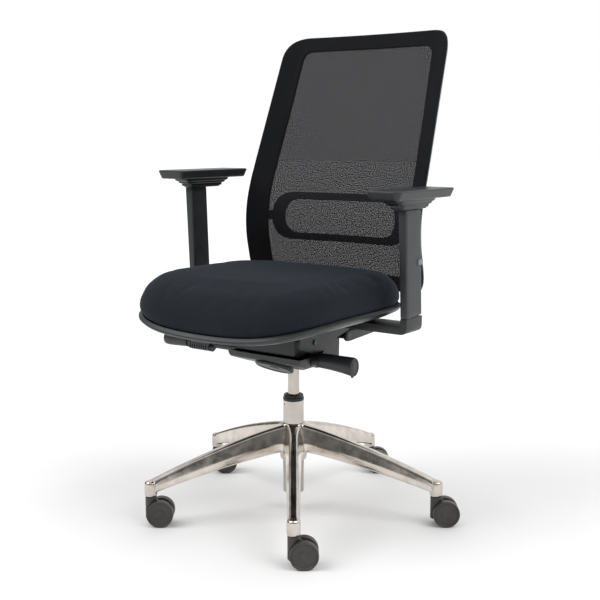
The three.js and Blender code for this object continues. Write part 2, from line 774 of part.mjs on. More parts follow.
// The back's middle line, as y at a height.
function backLine(z) {
  const rise = THREE.MathUtils.clamp(z, curveBottom, curveTop) - lumbarHeight;
  const onCurve = lumbarForward + lumbarCurve - Math.sqrt(lumbarCurve ** 2 - rise ** 2);
  const above = Math.max(0, z - curveTop) * Math.tan(slopeAbove);
  const below = Math.max(0, curveBottom - z) * Math.tan(slopeBelow);
  return onCurve + above + below;
}

// The back's front surface, as y at a place across and a height.
function backSurface(x, z) {
  const wing = Math.max(0, Math.abs(x) - wingStart) * wingSweep;
  return backLine(z) - x ** 2 / (2 * backWrapRadius) - wing;
}

// A sheet that follows the back's surface, between two depths behind it.
function backSheet(front, rear) {
  const width = 2 * backHalfWidth + 20;
  const height = backTop - backBottom + 20;
  const sheet = new THREE.BoxGeometry(width, 1, height, backFacetsAcross, 1, backFacetsUp);
  return reshaped(sheet, (point) => {
    const depth = point.y < 0 ? front : rear;
    point.z += (backTop + backBottom) / 2;
    point.y = backSurface(point.x, point.z) + depth;
  });
}

// The back's outline seen from the front, set in from its edges by the given bands.
function backOutline(side, top, bottom, corner) {
  const low = backBottom + bottom;
  const wide = backHalfWidth - side;
  const narrow = backTopHalfWidth - side;
  return mirroredOutline([[wide, low, corner], [wide, backShoulder, 300], [narrow, backTop - top, corner]]);
}

function backPrism(shape, curveSegments = 4) {
  return extrudedAlongY(shape, lumbarForward - 120, lumbarForward + 220, curveSegments);
}

function buildBack() {
  const outer = backPrism(backOutline(0, 0, 0, 58));
  const opening = backPrism(backOutline(sideBand, topBand, bottomBand, 26));
  const frame = cutFrom(common(backSheet(0, frameThickness), outer), opening);
  place(chair, "back_frame", frame, borderTextile);

  const netOutline = backOutline(sideBand + seatedGap, topBand + seatedGap, bottomBand + seatedGap, 26);
  const net = common(backSheet(meshInset, meshInset + meshThickness), backPrism(netOutline));
  place(chair, "back_mesh", net, backNet);
}

function racetrack(halfLength, halfHeight) {
  const shape = roundedRectangle(2 * halfLength, 2 * halfHeight, halfHeight);
  return backPrism(shape).translate(0, 0, ringCentre);
}

function buildLumbarRing() {
  const front = meshInset + meshThickness + ringGap;
  const earFront = frameThickness + ringGap;
  const earRear = earFront + 3;
  const ring = cutFrom(
    common(backSheet(front, front + ringThickness), racetrack(ringHalfLength, ringHalfHeight)),
    racetrack(ringHalfLength - ringEnd, ringHalfHeight - ringBar),
  );
  const earSheet = backSheet(earFront, earRear);
  const postSheet = backSheet(front + 1, earRear);
  const ears = [1, -1].flatMap((side) => {
    const root = [side * (ringHalfLength - 18), 0, ringCentre - earHalfHeight];
    const ear = boxBetween(root, [side * (wingStart + 14), 400, ringCentre + earHalfHeight]);
    const post = boxBetween(root, [side * (ringHalfLength - 4), 400, ringCentre + earHalfHeight]);
    return [common(earSheet, ear), common(postSheet, post)];
  });
  place(chair, "lumbar_ring", joined(ring, ...ears), blackPlastic);
}

function buildBackCarrier() {
  const rearFace = (z) => backLine(z) + frameThickness + seatedGap;
  const spineTop = backBottom + spineOverlap;
  const bendHeight = carrierBottom + 45;
  const bendY = rearFace(bendHeight);
  const topY = rearFace(spineTop);
  const t = carrierThickness;
  const start = coverRear + 60;
  const spineShape = outline([[start, carrierBottom, 3], [bendY + t, carrierBottom, 50],
    [bendY + t, bendHeight, 30], [topY + t, spineTop, 4], [topY, spineTop, 3], [bendY, bendHeight, 30],
    [bendY - 8, carrierBottom + t, 30], [start, carrierBottom + t, 3]]);
  const armEnd = start + 62;
  const boss = tiltBossRadius;
  const pivotY = tiltPivot.y;
  const pivotZ = tiltPivot.z;
  const armShape = outline([[pivotY - boss, pivotZ - boss, 12], [pivotY + boss, pivotZ - boss, 20],
    [armEnd, carrierBottom, 6], [armEnd, carrierBottom + t, 6], [pivotY + boss, pivotZ + boss, 20],
    [pivotY - boss, pivotZ + boss, 12]]);
  const outerReach = carrierArmInner + carrierArmThickness;
  const arms = [
    extrudedAlongX(armShape, carrierArmInner, outerReach, 2),
    extrudedAlongX(armShape, -outerReach, -carrierArmInner, 2),
  ];
  const plateNear = [-outerReach, start + 4, carrierBottom + 1];
  const plateFar = [outerReach, armEnd - 4, carrierBottom + t - 1];
  const crossPlate = boxBetween(plateNear, plateFar);
  const bore = roundBarAlongX(tiltPivot.radius + runningGap, -outerReach - 1, outerReach + 1, pivotY, pivotZ);
  const spine = extrudedAlongX(spineShape, -spineHalfWidth, spineHalfWidth, 4);
  place(chair, "back_carrier", cutFrom(joined(spine, crossPlate, ...arms), bore), blackPlastic);
}

// ---------- Arms ----------

const barTop = armBarBottom + armBarThickness;
const tongueGap = seatedGap;

// Moves a solid from the arm's own upright frame, whose origin is the sleeve's foot, to its leaning place.
function leaned(geometry, side, raise) {
  const x = (side * armSpacing) / 2;
  const upSleeve = new THREE.Vector3(0, -Math.sin(armLean), Math.cos(armLean));
  const lift = upSleeve.multiplyScalar(raise / Math.cos(armLean));
  return geometry.rotateX(armLean).translate(x + lift.x, armCentreY + lift.y, sleeveBottom + lift.z);
}

// The sleeve's section: deep on its outer face, less deep inside.
function sleeveOutline(side) {
  const front = -sleeveDepth / 2;
  const x = (side * sleeveWidth) / 2;
  return outline([[x, front, sleeveCorner], [x, front + sleeveDepth, sleeveCorner],
    [-x, front + sleeveInnerDepth, sleeveCorner], [-x, front, sleeveCorner]]);
}

function buildArm(name, side) {
  const raise = armRaise[name];
  const x = (side * armSpacing) / 2;
  const top = sleeveTop + raise;

  // Bracket: a bar under the seat, a rounded elbow, and a tongue inside the sleeve.
  const barEnd = bracketHalfWidth + seatedGap;
  const elbowTop = sleeveBottom - 3;
  const outerX = armSpacing / 2 + sleeveWidth / 2 - 1.5;
  const innerX = armSpacing / 2 - sleeveWidth / 2 + sleeveTaper;
  const corners = [[barEnd, armBarBottom, 2], [outerX, armBarBottom, 34], [outerX, elbowTop, 1],
    [innerX, elbowTop, 1], [innerX, barTop, 8], [barEnd, barTop, 2]]
    .map(([px, pz, radius]) => [side * px, pz, radius]);
  const elbowHalf = sleeveDepth / 2 - 1.5;
  const elbow = extrudedAlongY(outline(corners), armCentreY - elbowHalf, armCentreY + elbowHalf, 6);
  const tongueShape = roundedRectangle(tongueWidth, tongueDepth, 1.5);
  const tongueFoot = -12;
  const tongueTop = sleeveLength - 12;
  const tongueBar = extruded(tongueShape, tongueTop - tongueFoot, 2);
  const tongue = leaned(tongueBar.translate(side * tongueOffset, -tongueForward, tongueFoot), side, 0);
  place(chair, `arm_bracket_${name}`, joined(elbow, tongue), blackPlastic);

  // Sleeve, with its cavity for the tongue, a pocket for the button and a level top.
  const cavityShape = roundedRectangle(tongueWidth + 2 * tongueGap, tongueDepth + 2 * tongueGap, 2);
  const cavity = extruded(cavityShape, sleeveLength - 5, 2);
  cavity.translate(side * tongueOffset, -tongueForward, -1);
  const outside = reshaped(extruded(sleeveOutline(side), sleeveLength + 10, 4), (point) => {
    const inward = Math.max(0, -side * point.x) / (sleeveWidth / 2);
    point.x += side * inward * sleeveTaper * (1 - THREE.MathUtils.clamp(point.z / sleeveLength, 0, 1));
  });
  const pocketInner = 3;
  const pocketFront = tongueDepth / 2 - tongueForward + 1.5;
  const pocketRear = pocketFront + buttonDepth + 2 * seatedGap;
  const buttonCentre = sleeveLength - buttonDrop;
  const pocketHalf = buttonHeight / 2 + seatedGap;
  const pocket = boxBetween([side * pocketInner, pocketFront, buttonCentre - pocketHalf],
    [side * sleeveWidth, pocketRear, buttonCentre + pocketHalf]);
  const topCut = boxBetween([x - 40, armCentreY - 80, top], [x + 40, armCentreY + 80, top + 40]);
  const pinHoleRadius = 6;
  const pinHole = roundBar(pinHoleRadius, top - 9, top + 1, 12).translate(x, armCentreY, 0);
  const sleeveSolid = cutFrom(leaned(cutFrom(outside, cavity, pocket), side, raise), topCut, pinHole);
  place(chair, `arm_sleeve_${name}`, sleeveSolid, charcoalPlastic);

  // Button, which stands out of the sleeve's outer face and is pressed inwards.
  const buttonInner = pocketInner + buttonTravel + seatedGap;
  const button = boxBetween(
    [side * buttonInner, pocketFront + seatedGap, buttonCentre - buttonHeight / 2],
    [side * (sleeveWidth / 2 + buttonProud), pocketRear - seatedGap, buttonCentre + buttonHeight / 2],
  );
  place(chair, `arm_button_${name}`, leaned(button, side, raise), buttonPlastic);

  // Pad carrier: a tapered block with a pivot pin that stands in the sleeve's top.
  const carrierBase = top + seatedGap;
  const carrierCentre = padCentreY - 8;
  const carrierTop = carrierBase + carrierHeight;
  const blockSide = outline([[carrierCentre - 58, carrierBase, 6], [carrierCentre + 58, carrierBase, 6],
    [carrierCentre + 82, carrierTop, 3], [carrierCentre - 82, carrierTop, 3]]);
  const padX = x - side * padInset;
  const block = extrudedAlongX(blockSide, padX - padCarrierWidth / 2, padX + padCarrierWidth / 2, 3);
  const pin = roundBar(pinHoleRadius - runningGap, carrierBase - 5, carrierBase + 2, 12);
  pin.translate(x, armCentreY, 0);
  place(chair, `pad_carrier_${name}`, joined(block, pin), blackPlastic);

  const edge = 4;
  const padShape = roundedRectangle(padWidth - 2 * edge, padLength - 2 * edge, 20);
  const pad = new THREE.ExtrudeGeometry(padShape, {
    depth: padThickness - 2 * edge,
    bevelThickness: edge,
    bevelSize: edge,
    bevelSegments: 2,
    curveSegments: 5,
  });
  const padBottom = carrierBase + carrierHeight + seatedGap;
  place(chair, `arm_pad_${name}`, pad.translate(padX, padCentreY, padBottom + edge), paddedPolyurethane);
}

// ---------- Assembly ----------

buildBaseStar();
buildColumn();
for (let i = 0; i < legCount; i++) buildCaster(i + 1, legAngle(i));
buildMechanism();
buildShaftsAndSpring();
buildTiltControl();
buildDepthControl();
buildHeightControl();
buildSeatBracket();
buildSeat();
buildBack();
buildLumbarRing();
buildBackCarrier();
buildArm("left", 1);
buildArm("right", -1);

const outerBox = new THREE.Box3().setFromObject(chair);
const middle = outerBox.getCenter(new THREE.Vector3());
chair.position.set(-middle.x, -middle.y, -outerBox.min.z);

export default chair;
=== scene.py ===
import json
import math
import bpy
from mathutils import Matrix, Vector


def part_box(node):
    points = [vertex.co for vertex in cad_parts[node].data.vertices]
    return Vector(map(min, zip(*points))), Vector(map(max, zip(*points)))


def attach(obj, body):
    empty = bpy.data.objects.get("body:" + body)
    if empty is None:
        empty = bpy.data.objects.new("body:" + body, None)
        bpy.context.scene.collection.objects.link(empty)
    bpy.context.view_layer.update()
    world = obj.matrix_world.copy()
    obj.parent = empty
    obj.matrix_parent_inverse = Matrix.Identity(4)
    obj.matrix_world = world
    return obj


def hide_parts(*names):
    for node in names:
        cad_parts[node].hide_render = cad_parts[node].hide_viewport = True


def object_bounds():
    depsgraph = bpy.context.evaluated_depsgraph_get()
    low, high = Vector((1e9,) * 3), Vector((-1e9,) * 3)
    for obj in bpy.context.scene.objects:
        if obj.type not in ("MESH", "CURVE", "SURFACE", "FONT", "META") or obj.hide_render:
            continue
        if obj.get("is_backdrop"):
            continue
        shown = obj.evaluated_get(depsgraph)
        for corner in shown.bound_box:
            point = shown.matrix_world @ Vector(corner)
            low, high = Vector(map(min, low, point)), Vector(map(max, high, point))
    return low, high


# %% [markdown]
# # A swivel office chair, made by hand in Blender
# The chair has already been worked out as solids: each has its place, its size and the body that it
# moves with. This lesson turns those plain, faceted solids into the finished chair. We model each
# piece that shows again with Blender's own tools, and keep the few hidden pins and shafts, which
# only need a finish.

# %% Load the frame
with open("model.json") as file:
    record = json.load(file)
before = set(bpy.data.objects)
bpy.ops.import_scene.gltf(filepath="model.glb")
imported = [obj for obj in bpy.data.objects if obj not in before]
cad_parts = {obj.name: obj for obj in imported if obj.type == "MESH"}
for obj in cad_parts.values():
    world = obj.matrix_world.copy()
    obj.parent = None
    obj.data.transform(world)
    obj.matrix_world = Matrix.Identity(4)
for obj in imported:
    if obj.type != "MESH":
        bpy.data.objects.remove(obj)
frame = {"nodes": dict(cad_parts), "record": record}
frame_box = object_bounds()

# %% [markdown]
# Everything on a chair like this is laid out from its column. So we find the column's axis once,
# and then give every size in millimetres from that axis, as on a maker's drawing, with the floor at
# zero.

# %% The column's axis, and a place on the drawing
MM = 0.001
tube_low, tube_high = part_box("column_tube")
column = Vector(((tube_low[0] + tube_high[0]) / 2, (tube_low[1] + tube_high[1]) / 2, 0))


def spot(x, y, z):
    return Matrix.Translation(column + Vector((x, y, z)) * MM)


print(f"column axis at {column.x:.4f}, {column.y:.4f} m")

# %% [markdown]
# The camera stands in front of the chair and to its left, a little under the height of its back,
# and looks down by nine degrees. A long lens keeps the chair's lines nearly parallel, as in a
# catalogue.

# %% Camera
camera_distance = 2.392
camera_height = 0.890
camera_side = math.radians(36)
camera_pitch = math.radians(9)
towards_camera = Vector((math.sin(camera_side), -math.cos(camera_side), 0))
bpy.ops.object.camera_add(
    location=column + towards_camera * camera_distance + Vector((0, 0, camera_height)),
    rotation=(math.pi / 2 - camera_pitch, 0, camera_side),
)
camera = bpy.context.object
camera.name = "catalogue_camera"
camera.data.lens = 61.8
camera.data.shift_x = 0.01075
bpy.context.scene.camera = camera
print(f"camera {camera.data.lens} mm, {camera_distance} m from the column")

# %% [markdown]
# ## The tools of the bench
# Most operators act on whatever is selected, so each tool begins by letting go of everything.
# Nearly every piece starts from an outline: a list of corners, each with a radius, that is rounded
# into a smooth loop of points.

# %% Selecting, naming and editing
WELD = 1e-6


def let_go():
    if bpy.context.object and bpy.context.object.mode != "OBJECT":
        bpy.ops.object.mode_set(mode="OBJECT")
    bpy.ops.object.select_all(action="DESELECT")


def take(piece):
    let_go()
    bpy.context.view_layer.objects.active = piece
    piece.select_set(True)


def edit(piece):
    take(piece)
    bpy.ops.object.mode_set(mode="EDIT")
    bpy.ops.mesh.select_all(action="SELECT")


def close_up():
    bpy.ops.mesh.select_all(action="SELECT")
    bpy.ops.mesh.remove_doubles(threshold=WELD)
    bpy.ops.mesh.delete_loose(use_verts=True, use_edges=True, use_faces=False)
    bpy.ops.mesh.select_all(action="SELECT")
    bpy.ops.mesh.normals_make_consistent(inside=False)
    bpy.ops.object.mode_set(mode="OBJECT")


def named(name):
    piece = bpy.context.object
    piece.name = name
    piece.data.name = name
    return piece


# %% Outlines with rounded corners


def rounded(corners, steps=5):
    points = []
    for i, (a, b, radius) in enumerate(corners):
        here = Vector((a, b))
        back = Vector(corners[i - 1][:2]) - here
        ahead = Vector(corners[(i + 1) % len(corners)][:2]) - here
        if radius <= 0:
            points.append((a, b))
            continue
        reach = min(radius / math.tan(back.angle(ahead) / 2), 0.49 * min(back.length, ahead.length))
        first = here + back.normalized() * reach
        last = here + ahead.normalized() * reach
        for k in range(steps + 1):
            t = k / steps
            points.append(tuple(first * (1 - t) ** 2 + here * 2 * t * (1 - t) + last * t**2))
    return points


def rectangle(width, length, radius, steps=6, x=0, y=0):
    left, right, near, far = x - width / 2, x + width / 2, y - length / 2, y + length / 2
    corners = [(left, near, radius), (right, near, radius), (right, far, radius), (left, far, radius)]
    return rounded(corners, steps)


def part_way(value, start, length):
    return max(0, min(1, (value - start) / length))


# %% [markdown]
# Four ways to make a solid from loops cover almost the whole chair. *Turned* pieces spin a profile
# round an axis, as a lathe does. *Pressed* pieces fill an outline and extrude it. *Lofted* pieces
# carry a section from one place to the next, which suits anything that tapers or bends. A *band* is
# a loft that closes on itself, like a frame.

# %% Turned, pressed and lofted pieces


def loop(name, points):
    let_go()
    bpy.ops.mesh.primitive_circle_add(vertices=len(points), radius=1, location=(0, 0, 0))
    piece = named(name)
    for vertex, point in zip(piece.data.vertices, points):
        vertex.co = Vector(point) * MM
    return piece


def turned(name, profile, steps=72):
    piece = loop(name, [(radius, 0, height) for radius, height in profile])
    edit(piece)
    bpy.ops.mesh.spin(steps=steps, angle=2 * math.pi, center=(0, 0, 0), axis=(0, 0, 1))
    close_up()
    return piece


def pressed(name, points, push):
    piece = loop(name, points)
    edit(piece)
    bpy.ops.mesh.edge_face_add()
    bpy.ops.mesh.extrude_region_move(TRANSFORM_OT_translate={"value": Vector(push) * MM})
    close_up()
    return piece


def lofted(name, sections, ring=False):
    rows = [[*row, row[0]] for row in ([*sections, sections[0]] if ring else sections)]
    let_go()
    across, along = len(rows[0]) - 1, len(rows) - 1
    bpy.ops.mesh.primitive_grid_add(x_subdivisions=across, y_subdivisions=along, location=(0, 0, 0))
    piece = named(name)
    for vertex, point in zip(piece.data.vertices, [point for row in rows for point in row]):
        vertex.co = Vector(point) * MM
    edit(piece)
    bpy.ops.mesh.remove_doubles(threshold=WELD)
    if not ring:
        bpy.ops.mesh.select_all(action="DESELECT")
        bpy.ops.mesh.select_non_manifold()
        bpy.ops.mesh.fill_holes(sides=0)
    close_up()
    return piece


# %% [markdown]
# Then come the finishing tools. An edge on a moulded or cast piece is never sharp, so a bevel goes
# round it: that thin strip is what catches the light. Cuts are made with a cutter that is thrown
# away. Each modifier is applied at once, so what we see is real mesh.

# %% Modifiers, placing and handing over


def apply(piece, kind, **settings):
    take(piece)
    modifier = piece.modifiers.new("step", kind)
    for key, value in settings.items():
        setattr(modifier, key, value)
    bpy.ops.object.modifier_apply(modifier="step")


def softened(piece, width, segments=3, angle=30):
    apply(piece, "BEVEL", width=width * MM, segments=segments, limit_method="ANGLE",
          angle_limit=math.radians(angle), use_clamp_overlap=True)
    return piece


def carved(piece, cutter, operation="DIFFERENCE", solver="EXACT"):
    apply(piece, "BOOLEAN", operation=operation, object=cutter, solver=solver)
    bpy.data.objects.remove(cutter)
    return piece


def joined(name, pieces):
    take(pieces[0])
    for piece in pieces[1:]:
        piece.select_set(True)
    bpy.ops.object.join()
    return named(name)


def put(piece, place):
    piece.matrix_world = place
    take(piece)
    bpy.ops.object.transform_apply(location=True, rotation=True, scale=True)
    return piece


def copied(piece, name):
    twin = piece.copy()
    twin.data = piece.data.copy()
    twin.name = name
    twin.data.name = name
    bpy.context.collection.objects.link(twin)
    return twin


def round_about(piece, count, first=0):
    turns = [Matrix.Rotation(math.radians(first + 360 * i / count), 4, "Z") for i in range(count)]
    copies = [put(copied(piece, f"{piece.name}_{i}"), turn) for i, turn in enumerate(turns)]
    bpy.data.objects.remove(piece)
    return joined("round_about", copies)


def hand_over(piece, body, finish, *replaced, angle=35):
    take(piece)
    bpy.ops.object.shade_smooth_by_angle(angle=math.radians(angle))
    piece.data.materials.clear()
    piece.data.materials.append(finishes[finish])
    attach(piece, body)
    if replaced:
        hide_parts(*replaced)
    piece_sizes.append((piece.name, len(piece.data.polygons)))


finishes = {}
piece_sizes = []

# %% [markdown]
# ## Finishes
# Every finish is a small node tree, and one function adds a node to it. Colours are picked as hex
# values, as in any paint program, and turned to linear light before Blender uses them. A pattern's
# size is given in millimetres: Blender counts repeats in a metre, so its scale is one over that
# size.

# %% Colours and nodes


def linear(hex_colour):
    channels = [int(hex_colour[i : i + 2], 16) / 255 for i in (1, 3, 5)]
    return [*(c / 12.92 if c <= 0.04045 else ((c + 0.055) / 1.055) ** 2.4 for c in channels), 1]


def per_metre(millimetres):
    return 1000 / millimetres


def add(tree, kind, inputs, **settings):
    node = tree.nodes.new("ShaderNode" + kind)
    for key, value in settings.items():
        setattr(node, key, value)
    for socket, value in inputs.items():
        if isinstance(value, bpy.types.NodeSocket):
            tree.links.new(value, node.inputs[socket])
        else:
            node.inputs[socket].default_value = value
    return node


def new_finish(slot, name):
    material = bpy.data.materials.new(name)
    material.use_nodes = True
    tree = material.node_tree
    finishes[slot] = material
    return tree, tree.nodes["Principled BSDF"], add(tree, "TexCoord", {}).outputs["Object"]


def wire(tree, shader, **sockets):
    for socket, value in sockets.items():
        target = shader.inputs[socket.replace("_", " ")]
        if isinstance(value, bpy.types.NodeSocket):
            tree.links.new(value, target)
        else:
            target.default_value = value


# %% Noise, two tones and ranges


def noise(tree, where, size_mm, detail, roughness=0.5):
    inputs = {"Vector": where, "Scale": per_metre(size_mm), "Detail": detail, "Roughness": roughness}
    return add(tree, "TexNoise", inputs).outputs["Fac"]


def two_tone(tree, factor, dark, light, low, high):
    ramp = add(tree, "ValToRGB", {"Fac": factor})
    first, last = ramp.color_ramp.elements
    first.position, last.position = low, high
    first.color, last.color = linear(dark), linear(light)
    return ramp.outputs["Color"]


def spread(tree, factor, low, high, least, most):
    inputs = {"Value": factor, "From Min": low, "From Max": high, "To Min": least, "To Max": most}
    return add(tree, "MapRange", inputs).outputs["Result"]


# %% [markdown]
# **Polished aluminium.** The star base is die-cast and then buffed. Buffing leaves a mirror that is
# slightly uneven: the roughness wanders, and the surface rolls by hundredths of a millimetre, so
# reflections run like liquid.

# %% Polished metals


def polished(slot, name, light, dark, smooth, rough, roll_mm, depth_mm, cloud_mm):
    tree, shader, where = new_finish(slot, name)
    clouds = noise(tree, where, cloud_mm, 4.0)
    roll = noise(tree, where, roll_mm, 1.0)
    bump = add(tree, "Bump", {"Height": roll, "Strength": 1.0, "Distance": depth_mm * MM})
    wire(tree, shader, Base_Color=two_tone(tree, clouds, dark, light, 0.35, 0.7), Metallic=1.0,
         Roughness=spread(tree, clouds, 0.3, 0.7, smooth, rough), Normal=bump.outputs["Normal"])


polished("polished_aluminium", "buffed die-cast aluminium", "#ddd5cd", "#c4bcb3", 0.1, 0.2, 40, 0.05, 25)
polished("chrome_tube", "chromed steel tube", "#c6bfb8", "#b3aca5", 0.08, 0.15, 60, 0.01, 40)
polished("zinc_steel", "burnished zinc-plated steel", "#5c5d5f", "#454648", 0.3, 0.45, 12, 0.02, 6)
polished("spring_steel", "oiled spring steel", "#5f6166", "#46484c", 0.3, 0.45, 8, 0.02, 5)
print("metals:", ", ".join(finishes))

# %% [markdown]
# **Moulded plastic.** Nylon and ABS parts come out of moulds with a spark-eroded grain. It scatters
# a reflection into a soft sheen. The real grain is 0.1 to 0.3 mm across, which no camera at this
# distance resolves, so it is drawn about a millimetre across. Plastics all have an IOR near 1.5.

# %% Moulded plastics


def moulded(slot, name, light, dark, smooth, rough, grain_mm, depth_mm, cloud_mm=30, ior=1.5):
    tree, shader, where = new_finish(slot, name)
    clouds = noise(tree, where, cloud_mm, 5.0, 0.6)
    grain = add(tree, "TexVoronoi", {"Vector": where, "Scale": per_metre(grain_mm)}, feature="SMOOTH_F1")
    relief = {"Height": grain.outputs["Distance"], "Strength": 0.6, "Distance": depth_mm * MM}
    bump = add(tree, "Bump", relief)
    wire(tree, shader, Base_Color=two_tone(tree, clouds, dark, light, 0.3, 0.7), IOR=ior,
         Roughness=spread(tree, clouds, 0.3, 0.7, smooth, rough), Normal=bump.outputs["Normal"])


moulded("caster_nylon", "caster nylon, satin", "#45423e", "#35332f", 0.38, 0.5, 1.3, 0.05)
moulded("black_nylon", "glass-filled nylon, grained", "#242628", "#1a1c1e", 0.36, 0.48, 1.2, 0.06)
moulded("black_plastic", "black ABS, smooth", "#1a1b1d", "#131416", 0.28, 0.4, 1.0, 0.03)
moulded("charcoal_plastic", "charcoal nylon, grained", "#2c2f31", "#222527", 0.34, 0.46, 1.1, 0.05)
# Grey ABS is the arm buttons' own colour. The strip round the back frame's edge wears it too, and there its
# light grey is a painted highlight.
moulded("button_plastic", "grey ABS and painted edge highlight", "#80868a", "#6e7478", 0.22, 0.32, 1.0, 0.02)
moulded("lumbar_plastic", "matt black nylon", "#131315", "#0d0d0f", 0.55, 0.65, 1.2, 0.04)
moulded("pad_polyurethane", "self-skinned polyurethane", "#2a2d30", "#1f2224", 0.34, 0.44, 1.6, 0.08,
        cloud_mm=45, ior=1.48)
print("plastics:", len(finishes) - 4)

# %% [markdown]
# **Seat cloth.** Upholstery wool is a plain weave of yarns about 0.8 mm thick, too fine to show
# from here. What does show is its speckle, since each yarn is spun from fibres of several shades,
# and a pale sheen where the cloth turns away. Crossed waves add a shallow ripple. Blender's wave
# turns 20 radians in each unit, so one radian in 1.6 mm sets the ripple's crests about 10 mm apart.

# %% Woven cloths
WAVE_RADIANS = 20
FIBRE_MM, WEAR_MM = 1.4, 90


def woven(slot, name, light, dark, radian_mm, depth_mm, sheen, sheen_colour):
    tree, shader, where = new_finish(slot, name)
    ripple = {"Vector": where, "Scale": per_metre(radian_mm) / WAVE_RADIANS, "Distortion": 0.6,
              "Detail": 2.0, "Detail Scale": 3.0}
    warp, weft, rise = [add(tree, "TexWave", ripple, bands_direction=axis).outputs["Fac"] for axis in "XYZ"]
    cross = add(tree, "Math", {0: warp, 1: weft}, operation="MAXIMUM")
    cloth = add(tree, "Math", {0: cross.outputs[0], 1: rise}, operation="MULTIPLY")
    fibres = noise(tree, where, FIBRE_MM, 3.0, 0.7)
    speckle = add(tree, "Mix", {"Factor": 0.3, "A": fibres, "B": noise(tree, where, WEAR_MM, 3.0)})
    height = add(tree, "Math", {0: cloth.outputs[0], 1: fibres}, operation="ADD")
    bump = add(tree, "Bump", {"Height": height.outputs[0], "Strength": 0.7, "Distance": depth_mm * MM})
    tone = two_tone(tree, speckle.outputs["Result"], dark, light, 0.34, 0.66)
    wire(tree, shader, Base_Color=tone, Roughness=0.92, Normal=bump.outputs["Normal"],
         Sheen_Weight=sheen, Sheen_Roughness=0.5, Sheen_Tint=linear(sheen_colour), Specular_IOR_Level=0.2)


woven("seat_fabric", "wool upholstery cloth", "#20252c", "#14171b", 1.6, 0.25, 0.16, "#7f8da0")
woven("border_textile", "knitted border cloth", "#18191c", "#0f1012", 1.4, 0.15, 0.06, "#8a8c94")

# %% [markdown]
# **The back's net.** It is a warp-knitted spacer mesh: black yarn round small openings, with finer
# yarn crossing them behind. So an opening is never quite clear, and lets only part of the light by.
# The openings are near 2 mm apart on the real net and are drawn 3 mm apart. The pattern follows the
# sheet's own UV map, so it stays on the net.

# %% Knitted net
net_width, net_height, opening_step = 412, 569, 3
tree, shader, _ = new_finish("back_net", "warp-knitted net")
flat = add(tree, "UVMap", {}).outputs["UV"]
repeats = (net_width / opening_step, net_height / opening_step, 1)
count = add(tree, "Mapping", {"Vector": flat, "Scale": repeats}).outputs["Vector"]
cells = add(tree, "TexVoronoi", {"Vector": count, "Scale": 1.0, "Randomness": 0.85}, voronoi_dimensions="2D")
opening = spread(tree, cells.outputs["Distance"], 0.16, 0.42, 1.0, 0.0)
fleck_inputs = {"Vector": count, "Scale": 1.4, "Detail": 2.0, "Roughness": 0.8}
flecks = add(tree, "TexNoise", fleck_inputs).outputs["Fac"]
clear = spread(tree, flecks, 0.36, 0.64, 0.12, 0.27)
light_by = add(tree, "Math", {0: opening, 1: clear}, operation="MULTIPLY")
yarn = add(tree, "Math", {0: 1.0, 1: light_by.outputs[0]}, operation="SUBTRACT")
tone = two_tone(tree, flecks, "#0f0f12", "#222228", 0.4, 0.62)
bump = add(tree, "Bump", {"Height": cells.outputs["Distance"], "Strength": 0.5, "Distance": 0.3 * MM})
wire(tree, shader, Base_Color=tone, Alpha=yarn.outputs[0], Normal=bump.outputs["Normal"],
     Roughness=0.85, Specular_IOR_Level=0.25)
print("finishes:", len(finishes))

# %% Finishes for the solids that stay
for part in frame["record"]["subparts"]:
    solid = frame["nodes"][part["node"]]
    solid.data.materials.clear()
    solid.data.materials.append(finishes[part["material_slot"]])

# %% [markdown]
# ## The star base
# The base is one aluminium casting. Its legs have a narrow rounded ridge, sides that slope out to a
# soft shoulder and then drop, and a socket at the tip for the caster. We loft one leg, turn its
# socket, copy both round the column, and join them with the hub. A casting has fillets wherever two
# forms meet. A voxel remesh melts the pieces into one skin, and smoothing it makes those fillets.

# %% One leg
tube_radius, leg_inner, leg_outer = 25, 18, 347
root_flare, tip_cap = 62, 14
leg_turns = [math.radians(-54 + 72 * i) for i in range(5)]


def along_leg(x, hub, middle, tip):
    t = (x - tube_radius) / (leg_outer - tube_radius)
    return (1 - t) ** 2 * hub + 2 * t * (1 - t) * middle + t**2 * tip


def leg_section(x):
    end = max(0, x - (leg_outer + 1)) / tip_cap
    shrink = math.sqrt(max(1 - end**2, 0.02))
    reach = min(x, leg_outer)
    near = max(0, 1 - (x - leg_inner) / root_flare) ** 2
    top = along_leg(reach, 214, 176.5, 107) - 6 * (1 - shrink)
    low = along_leg(reach, 152, 125.5, 77)
    foot = along_leg(reach, 40, 33.5, 27) / 2 * shrink + 12 * near
    ridge = 9.5 * shrink + 6 * near
    shoulder = 0.93 * foot
    hip = low + 0.36 * (top - low)
    corners = [(-foot, low, 2), (foot, low, 2), (shoulder, hip, 14), (ridge, top, 8), (-ridge, top, 8),
               (-shoulder, hip, 14)]
    return [(x, y, z) for y, z in rounded(corners, 6)]


stations = [leg_inner, 24, 30, 37, 45, 54, 64, 76, 90, *range(106, 340, 18), 340]
stations += [348, 352, 355.5, 358.5, 360.6, 361.8]
leg = lofted("leg", [leg_section(x) for x in stations])
socket = turned("socket", rounded([(0, 70, 0), (14.8, 70, 1), (14.8, 104, 7), (0, 108, 0)]), 48)
socket = put(socket, Matrix.Translation((leg_outer * MM, 0, 0)))
leg = joined("leg", [leg, socket])
print("leg faces:", len(leg.data.polygons))

